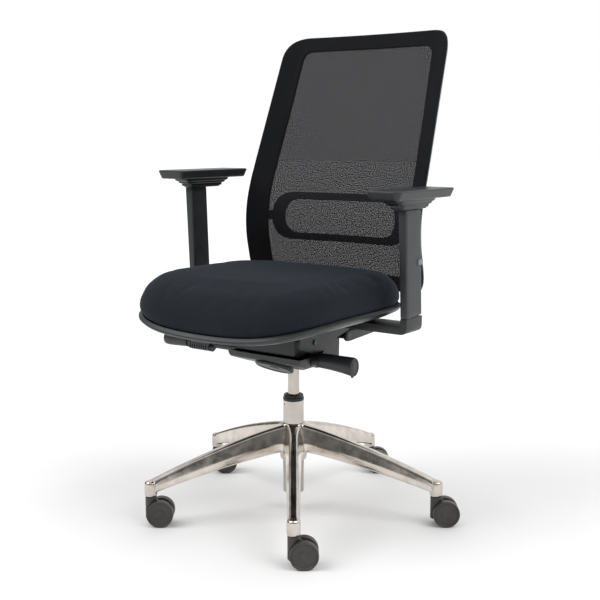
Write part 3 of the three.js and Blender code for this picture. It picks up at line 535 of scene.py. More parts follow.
# %% Five legs and the hub
hub_profile = [(25.7, 126, 0), (31, 126, 2), (33, 150, 20), (32, 196, 20), (28.5, 217, 3), (25.7, 217, 0)]
star = [turned("hub", rounded(hub_profile), 96)]
for i, turn in enumerate(leg_turns):
    star.append(put(copied(leg, f"leg_{i}"), Matrix.Rotation(turn, 4, "Z")))
bpy.data.objects.remove(leg)
bore = turned("bore", [(0, 100), (25.5, 100), (25.5, 230), (0, 230)], 96)
star = joined("star_base", star)
apply(star, "REMESH", mode="VOXEL", voxel_size=1.9 * MM, adaptivity=0)
apply(star, "SMOOTH", factor=0.5, iterations=9)
star = carved(star, bore, solver="MANIFOLD")
put(star, spot(0, 0, 0))
hand_over(star, "base", "polished_aluminium", "base_star", angle=60)
print("star base faces:", len(star.data.polygons))

# %% [markdown]
# ## The column
# The gas spring stands in a chromed tube with a black guide at its mouth. All of it is round, so
# all of it is turned on the lathe. The guide's lip has notches for the tool that fits it, and the
# tube has one small vent.

# %% Tube, guide and cylinder
tube_profile = [(21, 46, 0), (tube_radius, 46, 1), (tube_radius, 271.6, 1), (21.2, 271.6, 0.5)]
tube = turned("column_tube_chromed", rounded(tube_profile, 4), 96)
vent_turn = math.radians(-112)
vent_place = Matrix.Rotation(vent_turn, 4, "Z") @ Matrix.Translation((tube_radius * MM, 0, 263 * MM))
vent = turned("vent", [(0, -8), (1.9, -8), (1.9, 8), (0, 8)], 24)
tube = carved(tube, put(vent, vent_place @ Matrix.Rotation(math.pi / 2, 4, "Y")))
tube = put(tube, spot(0, 0, 0))
hand_over(tube, "base", "chrome_tube", "column_tube")

guide_profile = [(14.7, 195, 0), (20.2, 195, 0), (20.2, 272.6, 0), (25.2, 272.6, 0.8), (25.2, 278, 0.8),
                 (23.4, 279, 0.5), (23.4, 285.2, 1.5), (18, 285.2, 1), (16.2, 282.5, 1), (14.7, 282.5, 0.5)]
guide = turned("guide_lip", rounded(guide_profile, 3), 96)
notch_outline = [(18.5, -2.2, 281.5), (30, -2.2, 281.5), (30, 2.2, 281.5), (18.5, 2.2, 281.5)]
notch = pressed("notch", notch_outline, (0, 0, 8))
guide = carved(guide, round_about(notch, 6, 15))
hand_over(put(guide, spot(0, 0, 0)), "base", "black_plastic", "guide_collar")

cylinder_profile = [(0, 110, 0), (14, 110, 1), (14, 417, 1), (0, 417, 0)]
cylinder = turned("gas_cylinder_chromed", rounded(cylinder_profile, 3), 96)
hand_over(put(cylinder, spot(0, 0, 0)), "lift", "chrome_tube", "gas_cylinder")
print("column pieces:", [name for name, faces in piece_sizes[-3:]])

# %% [markdown]
# ## Casters
# A caster is a hood on a pin, with a wheel on each side. The wheels are 62 mm across, with a
# shallow dish in the outer face and a softly rounded tread. We model one wheel and one hood, and
# copy them to the five legs.

# %% One wheel and one hood
wheel_radius, trail, wheel_out = 31, 22, 6.5


def on_axle(side, out):
    hub = Matrix.Translation((trail * MM, side * out * MM, wheel_radius * MM))
    return hub @ Matrix.Rotation(-side * math.pi / 2, 4, "X")


wheel_profile = [(0, 0.4, 0), (26, 0.4, 1), (27, 0, 0), (31, 0, 3.2), (31, 17.5, 3.6), (27.2, 17.5, 0.8),
                 (25.8, 15.2, 0.8), (12, 14.8, 4), (9.5, 16.2, 1), (0, 16.2, 0)]
wheel = turned("wheel", rounded(wheel_profile, 5), 72)

pillar = turned("pillar", rounded([(0, 16, 0), (13, 16, 3), (13, 69, 3), (0, 69, 0)], 5), 64)
for side in (-1, 1):
    gap = turned("gap", [(0, 5.5), (32.5, 5.5), (32.5, 40), (0, 40)], 72)
    pillar = carved(pillar, put(gap, on_axle(side, 0)))
web_outline = rounded([(-11, 18, 6), (20, 14, 12), (36, 31, 14), (26, 52, 12), (8, 67, 6), (-11, 67, 2)], 6)
web = pressed("web", [(x, -5.3, z) for x, z in web_outline], (0, 10.6, 0))
hood = joined("hood", [pillar, softened(web, 1.2, 3)])
print("wheel faces:", len(wheel.data.polygons), "hood faces:", len(hood.data.polygons))

# %% Five casters
stem_places = []
for i, turn in enumerate(leg_turns, start=1):
    stem_places.append((leg_outer * math.cos(turn), leg_outer * math.sin(turn)))
    heading = spot(*stem_places[-1], 0) @ Matrix.Rotation(math.radians(36), 4, "Z")
    this_hood = put(copied(hood, f"caster_hood_{i}"), heading)
    hand_over(this_hood, f"caster_{i}", "caster_nylon", f"caster_{i}_hood")
    for letter, side in (("a", -1), ("b", 1)):
        this_wheel = put(copied(wheel, f"caster_wheel_{i}{letter}"), heading @ on_axle(side, wheel_out))
        hand_over(this_wheel, f"wheel_{i}{letter}", "caster_nylon", f"caster_{i}_wheel_{letter}")
bpy.data.objects.remove(hood)
bpy.data.objects.remove(wheel)
print("casters at", [tuple(round(v) for v in place) for place in stem_places])

# %% [markdown]
# ## The tilt mechanism
# Under the seat hangs a charcoal cover like a shallow boat: it slopes up to the front, and its
# bottom edges are well rounded. It is where three pressed outlines meet, seen from the side, the
# front and below, so we make all three and keep what they share. The adjuster's round knob sits on
# the slope.

# %% Cover
lever_y, lever_z = -60, 392
cover_low, cover_top, cover_half = 352, 400, 104


def both_sides(half, steps):
    return rounded([*half, *[(-x, other, radius) for x, other, radius in reversed(half)]], steps)


def cover_block(name, inset):
    low, top, half = cover_low + inset, cover_top + inset, cover_half - inset
    side = rounded([(-118 + inset, top, 0), (-117 + inset, 386, 14), (-24 + inset / 3, low, 30),
                    (44, low, 20), (78 - inset, 376 + inset, 20), (80 - inset, top, 0)], 8)
    front = both_sides([(half, top, 0), (95 - inset, 372 + inset, 26), (44, low, 30)], 8)
    plan = both_sides([(half, -130, 0), (half, -32, 50), (64 - inset, 46, 40), (34, 84 - inset, 20)], 8)
    front_view = pressed("front_view", [(x, -131, z) for x, z in front], (0, 232, 0))
    plan_view = pressed("plan_view", [(x, y, 340) for x, y in plan], (0, 0, 80))
    body = pressed(name, [(-110, y, z) for y, z in side], (220, 0, 0))
    return carved(carved(body, front_view, "INTERSECT"), plan_view, "INTERSECT")


cover = carved(softened(cover_block("mechanism_cover", 0), 4, 4, 20), cover_block("inside", 3))
lever_line = Matrix.Translation((0, lever_y * MM, lever_z * MM))
for side, radius in ((1, 15.5), (-1, 12)):
    hole = turned("hole", [(0, 60), (radius, 60), (radius, 130), (0, 130)], 48)
    cover = carved(cover, put(hole, lever_line @ Matrix.Rotation(side * math.pi / 2, 4, "Y")))
cover = carved(cover, turned("column_hole", [(0, 330), (17, 330), (17, 420), (0, 420)], 64))
rim_outline = [(-130, -140, 399), (130, -140, 399), (130, 100, 399), (-130, 100, 399)]
rim_cut = pressed("rim_cut", rim_outline, (0, 0, 20))
cover = carved(cover, rim_cut)
hand_over(put(cover, spot(0, 0, 0)), "mechanism", "charcoal_plastic", "mech_cover", angle=30)

# %% Housing and knob
housing_side = rounded([(-112, 452, 10), (-112, 404, 6), (-20, 362, 10), (50, 362, 6), (70, 376, 6),
                        (72, 441.5, 6), (47, 441.5, 12), (20, 445, 20)], 6)
housing = softened(pressed("tilt_housing", [(-84, y, z) for y, z in housing_side], (168, 0, 0)), 2.5, 3)
hand_over(put(housing, spot(0, 0, 0)), "mechanism", "black_nylon", "mech_housing")

slope = math.atan2(396 - cover_low, -24 + 118)
on_slope = spot(0, -71, 374) @ Matrix.Rotation(math.pi - slope, 4, "X")
knob_profile = [(0, -6, 0), (5, -6, 0), (5, 1.2, 0), (38, 1.2, 1), (40, 3.5, 1), (40, 5, 1),
                (46, 6, 1.5), (46, 12.5, 3), (42.5, 15.2, 1.5), (39, 15.2, 1), (37.5, 13.8, 1),
                (14, 12.2, 6), (11, 14.2, 2), (0, 14.8, 0)]
knob = turned("tension_knob_moulded", rounded(knob_profile, 5), 96)
flute = turned("flute", [(0, -4), (1.5, -4), (1.5, 20), (0, 20)], 12)
flute = put(flute, Matrix.Translation((46.6 * MM, 0, 0)))
knob = carved(knob, round_about(flute, 24))
hand_over(put(knob, on_slope), "tension_knob", "charcoal_plastic", "tension_knob")
print("mechanism pieces:", [name for name, faces in piece_sizes[-3:]])

# %% [markdown]
# ## Levers
# All the levers lie on one line across the chair. On the sitter's left is the tilt grip: round at
# its root, and drawn down into an oval end with a small pointer. On the right, a ribbed paddle for
# the seat depth turns on the height lever's rod, whose own grip is at the end.

# %% Tilt grip
lever = spot(0, lever_y, lever_z)


def oval(x, top, low, half):
    centre, tall = (top + low) / 2, (top - low) / 2
    turns = [k * math.pi / 24 for k in range(48)]
    return [(x, half * math.cos(turn), centre + tall * math.sin(turn)) for turn in turns]


grip_sections = [oval(123.6, 8, -8, 8), oval(123.6, 15.5, -15.5, 15.5), oval(125, 17, -17, 17),
                 oval(150, 17.2, -18, 17), oval(180, 17.4, -21, 17.4), oval(200, 17.6, -24.2, 18.2),
                 oval(208, 17.4, -25.6, 18.4), oval(210.5, 16, -24.2, 17), oval(210.9, 13, -21.4, 14),
                 oval(209.6, 12, -20.4, 13), oval(209.6, 10, -18, 11), oval(210.9, 9, -17, 10),
                 oval(210.9, 3, -10, 5)]
grip = lofted("tilt_grip_moulded", grip_sections)
pointer = turned("pointer", rounded([(0, -4, 0), (3.4, -4, 2), (3.4, 2, 2), (0, 5, 0)], 5), 24)
pointer = put(pointer, Matrix.Translation((204 * MM, 0, -25 * MM)) @ Matrix.Rotation(math.pi, 4, "X"))
grip = joined("tilt_grip_moulded", [grip, pointer])
hand_over(put(grip, lever), "tilt_control", "charcoal_plastic", "tilt_grip")

sideways = lever @ Matrix.Rotation(math.pi / 2, 4, "Y")
stem_profile = [(0, 86, 0), (14, 86, 1), (14, 117, 0), (16.6, 118, 0.8), (16.6, 123, 0.8), (0, 123, 0)]
stem = turned("tilt_stem_turned", rounded(stem_profile, 4), 64)
hand_over(put(stem, sideways), "tilt_control", "black_plastic", "tilt_stem")

# %% Depth paddle, height lever
other_way = lever @ Matrix.Rotation(-math.pi / 2, 4, "Y")
depth_tube = turned("depth_tube", rounded([(5.6, 86, 0), (9, 86, 0.8), (9, 197, 0.8), (5.6, 197, 0)], 3), 48)
hand_over(put(depth_tube, other_way), "depth_control", "charcoal_plastic", "depth_stem")

paddle_outline = rounded([(-20, -12, 3), (0, -20, 8), (20, -8, 2), (20, -2, 2), (0, 11, 9), (-20, -2, 3)], 6)
paddle = pressed("depth_paddle_moulded", [(-262, y, z) for y, z in paddle_outline], (64.6, 0, 0))
paddle = softened(paddle, 1.2, 3)
grooves = []
for x in range(-256, -202, 7):
    groove_outline = [(x, -30, -25), (x, -14, -25), (x, -14, -9), (x, -18, 20), (x, -30, 20)]
    grooves.append(pressed("groove", groove_outline, (2.8, 0, 0)))
paddle = carved(paddle, joined("grooves", grooves))
rod_hole = turned("rod_hole", [(0, 180), (5.7, 180), (5.7, 280), (0, 280)], 32)
paddle = carved(paddle, put(rod_hole, Matrix.Rotation(-math.pi / 2, 4, "Y")))
hand_over(put(paddle, lever), "depth_control", "charcoal_plastic", "depth_paddle")

rod_profile = [(0, 86, 0), (5, 86, 0.5), (5, 263, 0), (13, 263, 1), (13, 273, 1), (0, 273, 0)]
rod = turned("height_rod", rounded(rod_profile, 3), 48)
hand_over(put(rod, other_way), "height_control", "black_plastic", "height_stem")
end_profile = [(0, 273.4, 0), (15.4, 273.4, 2), (16.4, 300, 20), (17.6, 336, 12), (16.6, 347.6, 4),
               (12, 348, 1), (11, 346.8, 1), (0, 346.8, 0)]
end_grip = turned("height_grip_moulded", rounded(end_profile, 6), 64)
hand_over(put(end_grip, other_way), "height_control", "charcoal_plastic", "height_grip")
print("lever pieces:", [name for name, faces in piece_sizes[-5:]])

# %% [markdown]
# ## The seat
# The seat pan is a thin moulded tray with a turned-up rim, and the cushion sits in it. Both follow
# one outline, a rectangle with very soft corners, which a superellipse draws well. At the front
# both fall away, so that the edge doesn't press into the sitter's legs. We loft them from the same
# two rules.

# %% The seat's outline and its fall
seat_half, seat_long, seat_front = 253, 500, -335
seat_middle = seat_front + seat_long / 2
squareness, fall_start, front_fall = 4.2, -150, 37


def seat_fall(x, y):
    past = max(0, fall_start - y) / (fall_start - seat_front)
    return front_fall * past**2 * (1 - 0.6 * (x / seat_half) ** 2)


def seat_ring(share, height, count=120):
    points = []
    for k in range(count):
        turn = 2 * math.pi * k / count
        across = abs(math.cos(turn) / seat_half) ** squareness
        along = abs(math.sin(turn) / (seat_long / 2)) ** squareness
        radius = share * (across + along) ** (-1 / squareness)
        x, y = radius * math.cos(turn), seat_middle + radius * math.sin(turn)
        points.append((x, y, height - seat_fall(x, y)))
    return points


# %% Seat pan
def seat_profile(corners, steps):
    scaled = rounded([(share * seat_half, height, radius) for share, height, radius in corners], steps)
    return [(share / seat_half, height) for share, height in scaled]


pan_profile = seat_profile([(0.2, 484, 0), (0.8, 484, 30), (0.92, 491, 30), (0.98, 499, 8), (1.0, 505.5, 2),
                            (0.999, 508.5, 1.5), (0.972, 513.5, 1.5), (0.962, 509, 3), (0.88, 497, 20),
                            (0.76, 490, 20), (0.2, 490, 0)], 5)
pan = lofted("seat_pan", [seat_ring(share, height) for share, height in pan_profile])
rails = []
for side in (-1, 1):
    low_x, high_x = sorted((side * 60, side * 90))
    rail_outline = [(low_x, -120, 474.4), (high_x, -120, 474.4), (high_x, 22, 474.4), (low_x, 22, 474.4)]
    rails.append(softened(pressed("rail", rail_outline, (0, 0, 11)), 1.5, 2))
pan = joined("seat_pan", [pan, *rails])
hand_over(put(pan, spot(0, 0, 0)), "seat", "charcoal_plastic", "seat_shell", angle=40)

# %% [markdown]
# The cushion is foam under a sewn cover, so it should look filled, not machined. We loft it a
# little small, remesh it so that its cloth can stretch evenly, and blow it up with cloth pressure
# for twenty frames. A limit on how far each point may move, small at the seam and larger on top,
# keeps it clear of the tray and the arms. The rear of the top sinks a little towards the back.

# %% Seat cushion
cushion_profile = seat_profile([(0.03, 493, 0), (0.78, 493, 10), (0.9, 501, 20), (0.955, 510, 4),
                                (0.97, 515, 2), (0.99, 521, 8), (0.998, 541, 18), (0.965, 565, 22),
                                (0.88, 581, 30), (0.6, 587, 60), (0.3, 583, 60), (0.03, 580, 0)], 6)
rear_dip, last_frame = 13, 20
seam_travel, top_travel = 0.6, 5.4


def crowned(x, y, z):
    return (x, y, z - rear_dip * part_way(y, 10, 150) ** 2 * part_way(z, 520, 50))


rings = [[crowned(*point) for point in seat_ring(share, height, 160)] for share, height in cushion_profile]
cushion = lofted("seat_cushion_upholstered", rings)
apply(cushion, "REMESH", mode="VOXEL", voxel_size=5 * MM, adaptivity=0)
start = [vertex.co.copy() for vertex in cushion.data.vertices]
take(cushion)
cloth = cushion.modifiers.new("foam", "CLOTH")
cloth.settings.quality = 5
cloth.settings.mass = 0.3
cloth.settings.use_pressure = True
cloth.settings.uniform_pressure_force = 4
cloth.settings.effector_weights.gravity = 0
cloth.settings.tension_stiffness = 30
cloth.settings.compression_stiffness = 30
cloth.collision_settings.use_collision = False
for frame_number in range(1, last_frame + 1):
    bpy.context.scene.frame_set(frame_number)
bpy.ops.object.modifier_apply(modifier="foam")
bpy.context.scene.frame_set(1)
for vertex, before in zip(cushion.data.vertices, start):
    move = vertex.co - before
    limit = (seam_travel + top_travel * part_way(before.z / MM, 515, 30)) * MM
    if move.length > limit:
        vertex.co = before + move.normalized() * limit
apply(cushion, "SMOOTH", factor=0.5, iterations=6)
apply(cushion, "SUBSURF", levels=1, render_levels=1)
hand_over(put(cushion, spot(0, 0, 0)), "seat", "seat_fabric", "seat_cushion", angle=80)
print("cushion faces:", len(cushion.data.polygons))

# %% [markdown]
# ## The back
# The back's surface is a straight slope above and below a round lumbar curve. It wraps a little
# round the sitter, and its edges come forward like wings. Every piece of the back is drawn flat, as
# seen from the front, and then slid straight back on to that surface, so they all fit each other.

# %% The back's surface
lumbar_z, lumbar_radius, lumbar_depth = 675, 260, 187
upper_slope, lower_slope = math.radians(19), math.radians(13)
wrap, wing_start, wing_slope = 2600, 200, 0.45
back_half, back_half_top, widest_z = 254, 236, 790
back_low, back_high = 520, 1144


def back_line(z):
    low_z = lumbar_z - lumbar_radius * math.sin(lower_slope)
    high_z = lumbar_z + lumbar_radius * math.sin(upper_slope)
    rise = min(max(z, low_z), high_z) - lumbar_z
    curve = lumbar_depth + lumbar_radius - math.sqrt(lumbar_radius**2 - rise**2)
    return curve + max(0, z - high_z) * math.tan(upper_slope) + max(0, low_z - z) * math.tan(lower_slope)


def back_surface(x, z):
    return back_line(z) - x**2 / wrap - wing_slope * max(0, abs(x) - wing_start)


def back_outline(side, top, bottom, corner, steps=12):
    wide, narrow, low, high = back_half - side, back_half_top - side, back_low + bottom, back_high - top
    return both_sides([(wide, low, corner), (wide, widest_z, 300), (narrow, high, corner)], steps)


# %% A band laid on the back


def spaced(points, count):
    lengths = [(Vector(b) - Vector(a)).length for a, b in zip(points, [*points[1:], points[0]])]
    total, place, result, walked = sum(lengths), 0, [], 0
    for k in range(count):
        goal = total * k / count
        while walked + lengths[place] < goal:
            walked += lengths[place]
            place += 1
        a, b = Vector(points[place]), Vector(points[(place + 1) % len(points)])
        result.append(tuple(a.lerp(b, (goal - walked) / lengths[place])))
    return result


def narrowest(outer, inner):
    return min((Vector(a) - Vector(b)).length for a, b in zip(outer, inner))


def laid(name, outer, inner, corners, strips=8):
    width = narrowest(outer, inner)
    section = [(across / width, depth) for across, depth in rounded(corners, 5)]
    filled = []
    for (a, depth), (b, next_depth) in zip(section, [*section[1:], section[0]]):
        pieces = strips if abs(b - a) > 0.4 else 1
        for k in range(pieces):
            filled.append((a + (b - a) * k / pieces, depth + (next_depth - depth) * k / pieces))
    rows = []
    for (ox, oz), (ix, iz) in zip(outer, inner):
        row = [(ox + (ix - ox) * s, oz + (iz - oz) * s, depth) for s, depth in filled]
        rows.append([(x, back_surface(x, z) + depth, z) for x, z, depth in row])
    return lofted(name, rows, ring=True)


def band(name, outer, inner, front, rear, corner, strips=8):
    width = narrowest(outer, inner)
    corners = [(0, front, corner), (width, front, corner), (width, rear, corner), (0, rear, corner)]
    return laid(name, outer, inner, corners, strips)


# %% [markdown]
# Two loops with the same number of points can be joined all the way round. To keep the strips
# square, both loops are cut into equal steps from the same place, and the inner loop's points are
# matched to the outer's by angle.

# %% Border, rear rim and net
back_middle, fine_count = 830, 1600


def matched(outer, loop_points):
    fine = spaced(loop_points, fine_count)
    turns = [math.atan2(z - back_middle, x) for x, z in fine]
    result = []
    for x, z in outer:
        goal = math.atan2(z - back_middle, x)
        best = min(range(len(fine)), key=lambda k: abs(math.remainder(turns[k] - goal, 2 * math.pi)))
        result.append(fine[best])
    return result


outer_edge = spaced(back_outline(0, 0, 0, 58), 220)
inner_edge = matched(outer_edge, back_outline(48, 37, 38, 26))
border = band("back_border", outer_edge, inner_edge, 0, 9, 3.5)
hand_over(put(border, spot(0, 0, 0)), "back", "border_textile", angle=50)

rim_outer = matched(outer_edge, back_outline(6.5, 6.5, 6.5, 52))
rim_inner = matched(outer_edge, back_outline(44, 33, 34, 28))
rim = band("back_rim_moulded", rim_outer, rim_inner, 9.4, 15, 2.2, 6)
hand_over(put(rim, spot(0, 0, 0)), "back", "charcoal_plastic", "back_frame", angle=50)

# A thin strip runs round the frame's outer edge. Its light grey colour is a painted highlight that stands
# for the reflection down the frame's outer side, added on top of the lamps' real sheen.
highlight_strip_outer = matched(outer_edge, back_outline(-0.8, -0.8, -0.8, 58.6))
highlight_strip_section = [(0, 9.4, 1), (7, 9.4, 0.5), (7, 16, 1), (3.4, 18.5, 1.5)]
highlight_strip = laid("back_edge_painted_highlight", highlight_strip_outer, rim_inner, highlight_strip_section, 2)
hand_over(put(highlight_strip, spot(0, 0, 0)), "back", "button_plastic", angle=50)

net_low, net_high, net_half, net_depth = 557, 1108, 207, 4.2
columns, rows = 40, 56
net_points = []
for j in range(rows + 1):
    z = net_low + (net_high - net_low) * j / rows
    taper = (back_half - back_half_top) * max(0, z - widest_z) / (back_high - widest_z)
    for i in range(columns + 1):
        x = (net_half - taper) * (2 * i / columns - 1)
        net_points.append((x, back_surface(x, z) + net_depth, z))
let_go()
bpy.ops.mesh.primitive_grid_add(x_subdivisions=columns, y_subdivisions=rows, size=1, calc_uvs=True,
                                location=(0, 0, 0))
net = named("back_net_knitted")
for vertex, point in zip(net.data.vertices, net_points):
    vertex.co = Vector(point) * MM
hand_over(put(net, spot(0, 0, 0)), "back", "back_net", "back_mesh", angle=60)

# %% [markdown]
# The lumbar support is a long ring behind the net. At each end a short post joins it to an ear,
# which reaches round to the frame's rear, where the ring slides up and down on the curve.

# %% Lumbar ring
ring_z, ring_end = 692, 128


def racetrack(half_long, half_high, count=160):
    outline = rectangle(2 * half_long, 2 * half_high, half_high * 0.999, 16, 0, ring_z)
    return spaced(outline, count)


ring_outer = racetrack(198, 60)
fine_inner = spaced(racetrack(162, 42, 400), fine_count)
ring_inner = []
for x, z in ring_outer:
    here = Vector((x, z))
    hub = Vector((math.copysign(min(abs(x), ring_end), x), ring_z))
    nearest = min(fine_inner, key=lambda p: (Vector(p) - here).length + 0.4 * (Vector(p) - hub).length)
    ring_inner.append(nearest)
ring = band("lumbar_ring_moulded", ring_outer, ring_inner, 6.4, 12.4, 1.8, 5)


def behind_back(name, side, outline, depth, thickness):
    piece = pressed(name, [(side * x, 0, z) for x, z in rounded(outline, 4)], (0, thickness, 0))
    for vertex in piece.data.vertices:
        x, y, z = vertex.co / MM
        vertex.co.y = (back_surface(x, z) + depth + y) * MM
    return piece


ears = []
for side in (-1, 1):
    ear_outline = [(172, 680, 3), (214, 680, 3), (214, 704, 3), (172, 704, 3)]
    post_outline = [(171, 681, 2), (183, 681, 2), (183, 703, 2), (171, 703, 2)]
    ears.append(behind_back("ear", side, ear_outline, 15.8, 3))
    ears.append(behind_back("post", side, post_outline, 8, 9))
ring = joined("lumbar_ring_moulded", [ring, *ears])
hand_over(put(ring, spot(0, 0, 0)), "lumbar", "lumbar_plastic", "lumbar_ring", angle=50)

# %% [markdown]
# The back stands on a carrier: two arms from the tilt shaft, a cross plate, and a broad spine that
# bends up and screws to the back of the frame. It is moulded in one, so its edges are softened all
# round.

# %% Back carrier
bend_z, spine_top, frame_depth, spine_thick = 469, 556, 14.4, 14
bend_y, top_y = back_line(bend_z) + frame_depth, back_line(spine_top) + frame_depth
bend_rear, top_rear = bend_y + spine_thick, top_y + spine_thick
spine_outline = rounded([(140, 424, 3), (bend_rear, 424, 50), (bend_rear, bend_z, 30),
                         (top_rear, spine_top, 4), (top_y, spine_top, 3), (bend_y, bend_z, 30),
                         (bend_y - 8, 438, 30), (140, 438, 3)], 8)
spine = softened(pressed("spine", [(-70, y, z) for y, z in spine_outline], (140, 0, 0)), 3, 3)
arm_outline = rounded([(42.5, 417.5, 12), (67.5, 417.5, 20), (202, 424, 6), (202, 438, 6), (67.5, 442.5, 20),
                       (42.5, 442.5, 12)], 8)
yoke = [softened(pressed("yoke", [(x, y, z) for y, z in arm_outline], (8, 0, 0)), 2, 3) for x in (113, -121)]
plate_outline = [(-121, 144, 425), (121, 144, 425), (121, 198, 425), (-121, 198, 425)]
plate = softened(pressed("plate", plate_outline, (0, 0, 12)), 2, 3)
channels = []
for x in (-42, -14, 14, 42):
    channel_outline = [(x - 5, 180, 431), (x + 5, 180, 431), (x + 5, 215, 431), (x - 5, 215, 431)]
    channels.append(pressed("channel", channel_outline, (0, 0, 20)))
spine = carved(spine, joined("channels", channels))
carrier = joined("back_carrier_moulded", [spine, plate, *yoke])
hand_over(put(carrier, spot(0, 0, 0)), "back", "black_nylon", "back_carrier")
print("back pieces:", [name for name, faces in piece_sizes[-6:]])

# %% [markdown]
# ## Arms
# Each arm is a bar with a rounded elbow, a sleeve that slides up and down on a tongue, a stepped
# carrier, and a firm pad. The right arm is set 32 mm higher than the left. The two arms are mirror
# images, so one loop makes both. The sleeve leans back by three degrees, and its top is cut level
# again for the carrier.

# %% Sleeve sections
arm_x, arm_y, lean, sleeve_long = 302, 25, math.radians(3), 235


def sleeve_section(side, z, inset, level=None):
    taper = 2 * (1 - part_way(z, 0, sleeve_long))
    outer_x, inner_x = 10 - inset, -10 + taper + inset
    front, rear, inner_rear = -36 + inset, 36 - inset, 20 - inset
    corners = [(outer_x, front, 2.5), (outer_x, rear, 6), (inner_x, inner_rear, 6), (inner_x, front, 5)]
    points = rounded([(side * x, y, radius) for x, y, radius in corners], 6)
    if level is None:
        return [(x, y, z) for x, y in points]
    return [(x, y, (level - y * math.sin(lean)) / math.cos(lean)) for x, y in points]


# %% Both arms
arm_outer, arm_low, elbow_top = 310.5, 462, 498
sleeve_foot, pad_x, pad_z, pad_y = 500, 296, 735.4, 27.5
for hand, side, lift in (("left", 1, 0), ("right", -1, 32)):
    elbow_outline = rounded([(128.4, arm_low, 2), (arm_outer, arm_low, 36), (arm_outer, elbow_top, 1),
                             (294, elbow_top, 1), (294, 480, 8), (128.4, 480, 2)], 10)
    elbow = pressed("elbow", [(side * x, -0.5, z) for x, z in elbow_outline], (0, 1, 0))
    for vertex in elbow.data.vertices:
        x = abs(vertex.co.x / MM)
        half = 34.5 - 6 * part_way(x, 128, 60) + 6 * part_way(x, 240, 50)
        vertex.co.y = (arm_y + math.copysign(half, vertex.co.y)) * MM
    elbow = softened(elbow, 2.5, 4, 25)
    tongue_outline = rectangle(11, 48, 2, 3, side * 1.5, -4)
    tongue = pressed("tongue", [(x, y, 0) for x, y in tongue_outline], (0, 0, 160))
    tongue_foot = Matrix.Translation((side * arm_x * MM, arm_y * MM, 488 * MM))
    elbow = joined("elbow", [elbow, put(tongue, tongue_foot @ Matrix.Rotation(lean, 4, "X"))])
    hand_over(put(elbow, spot(0, 0, 0)), "seat_frame", "black_nylon", f"arm_bracket_{hand}")

    slide = Matrix.Translation((0, 0, lift / math.cos(lean) * MM))
    foot = spot(side * arm_x, arm_y, sleeve_foot) @ Matrix.Rotation(lean, 4, "X") @ slide
    sections = [sleeve_section(side, z, inset) for z, inset in ((0, 1.6), (0.6, 0.6), (2, 0))]
    sections += [sleeve_section(side, z, 0) for z in range(12, 226, 14)]
    for inset, level in ((0, 233), (0.6, 234.4), (1.8, 235)):
        sections.append(sleeve_section(side, sleeve_long, inset, level))
    sleeve = lofted(f"arm_sleeve_{hand}_moulded", sections)
    pocket_outline = [(3, 11), (15, 11), (15, 37), (3, 37)]
    cuts = [pressed("pocket", [(side * x, y, 111) for x, y in pocket_outline], (0, 0, 14))]
    groove_outline = [(9.6, -31), (12, -31), (12, -30), (9.6, -30)]
    cuts.append(pressed("groove", [(side * x, y, -5) for x, y in groove_outline], (0, 0, 260)))
    sleeve = carved(sleeve, joined("cuts", cuts))
    hand_over(put(sleeve, foot), f"arm_{hand}", "charcoal_plastic", f"arm_sleeve_{hand}", angle=30)

    button_outline = [(side * x, y, 112) for x, y in ((5.4, 13.4), (12.4, 13.4), (12.4, 33.8), (5.4, 33.8))]
    button = softened(pressed(f"arm_button_{hand}_moulded", button_outline, (0, 0, 12)), 1.6, 4)
    hand_over(put(button, foot), f"button_{hand}", "button_plastic", f"arm_button_{hand}")

    top = spot(side * pad_x, 0, pad_z + lift)
    steps = [(104, 26, 0), (107, 29, 0.7), (108, 30, 2.6), (118, 34, 3.4), (121, 35, 4.6), (122, 36, 9.4),
             (134, 40, 10.2), (138, 42, 11.2), (142, 43, 14.8), (152, 46, 15.8), (158, 48, 17.4),
             (163, 50, 22)]
    carrier_rings = []
    for length, width, z in steps:
        carrier_rings.append([(x, y, z) for x, y in rectangle(width, length, width * 0.3, 6, 0, 19.5)])
    pad_carrier = lofted(f"pad_carrier_{hand}_moulded", carrier_rings)
    hand_over(put(pad_carrier, top), f"pad_carrier_{hand}", "black_plastic", f"pad_carrier_{hand}", angle=30)

    pad_rings = []
    for inset, z in ((16, 0), (9, 0.3), (7, 1.4), (5.6, 4), (3.6, 9), (1.8, 13.4), (0.5, 16.4), (0, 17.8),
                     (0.2, 19), (1, 20), (2.4, 20.7), (5, 21), (10, 20.7), (20, 20.2), (30, 20), (38, 20)):
        pad_outline = rectangle(85 - 2 * inset, 254 - 2 * inset, max(17 - inset, 3), 10, 0, pad_y)
        pad_rings.append([(x, y, z + 22.4) for x, y in pad_outline])
    pad = lofted(f"arm_pad_{hand}_skinned", pad_rings)
    hand_over(put(pad, top), f"pad_{hand}", "pad_polyurethane", f"arm_pad_{hand}", angle=50)
print("arm pieces:", [name for name, faces in piece_sizes[-10:]])

# %% [markdown]
# ## The studio
# The chair stands on pale paper that runs back to a pale sky. Two very large, very soft lamps shine
# from far off, so the floor is lit evenly and the shadows spread. Polished metal shows what is
# around it: a dim band just above the floor darkens the legs' sides, and a bright sky behind the
# chair lines every edge that turns that way.

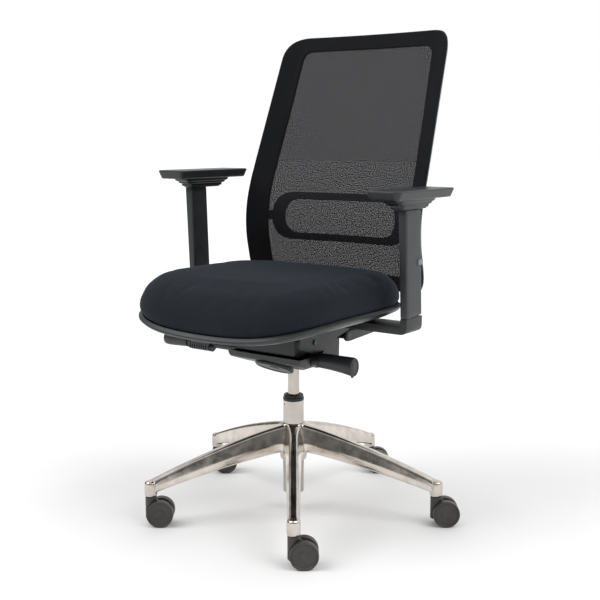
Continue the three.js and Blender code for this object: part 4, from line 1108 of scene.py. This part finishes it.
# %% Floor
FLOOR_SIZE, LAMP_ANGLE = 60, math.radians(35)
bpy.ops.mesh.primitive_plane_add(size=FLOOR_SIZE, location=(0, 0, 0))
floor = named("studio_floor")
paper = bpy.data.materials.new("pale paper")
paper.use_nodes = True
wire(paper.node_tree, paper.node_tree.nodes["Principled BSDF"], Base_Color=linear("#f6f6f6"), Roughness=0.9,
     Specular_IOR_Level=0.0)
floor.data.materials.append(paper)
floor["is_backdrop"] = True

# %% Sky
world = bpy.data.worlds.new("studio")
world.use_nodes = True
bpy.context.scene.world = world
sky = world.node_tree


def grey(level):
    return (level, level, level, 1)


where = add(sky, "SeparateXYZ", {"Vector": add(sky, "TexCoord", {}).outputs["Generated"]})
glow = add(sky, "ValToRGB", {"Fac": where.outputs["Z"]})
horizon, overhead = glow.color_ramp.elements
horizon.position, overhead.position = 0.0, 0.8
horizon.color, overhead.color = grey(0.1), grey(0.9)
glow.color_ramp.elements.new(0.3).color = grey(0.2)
behind = spread(sky, where.outputs["Y"], 0.15, 0.7, 0.0, 1.0)
lit = add(sky, "Mix", {"Factor": behind, "A": glow.outputs["Color"], "B": grey(0.95)}, data_type="RGBA")
seen = add(sky, "LightPath", {}).outputs["Is Camera Ray"]
backing = add(sky, "Mix", {"Factor": seen, "A": lit.outputs["Result"], "B": grey(1.0)}, data_type="RGBA")
sky.links.new(backing.outputs["Result"], sky.nodes["Background"].inputs["Color"])

# %% Lamps
for name, place, power in (("left_lamp", (-2.0, -2.2, 3.2), 1.1), ("right_lamp", (2.6, 0.2, 3.0), 0.9)):
    bpy.ops.object.light_add(type="SUN", location=place)
    lamp = bpy.context.object
    lamp.name = name
    lamp.data.angle = LAMP_ANGLE
    lamp.data.energy = power
    lamp.rotation_euler = (-Vector(place)).to_track_quat("-Z", "Y").to_euler()
bpy.context.scene.view_settings.view_transform = "Standard"

# %% [markdown]
# Last, we measure the bounds of the finished chair and of the solids that it was built on, and print both.

# %% Measure and finish
chair_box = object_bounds()
boxes = {"frame": [list(corner) for corner in frame_box], "chair": [list(corner) for corner in chair_box]}
for whose, box in boxes.items():
    print(whose, [[round(v, 3) for v in corner] for corner in box])
print("faces in all:", sum(faces for name, faces in piece_sizes))
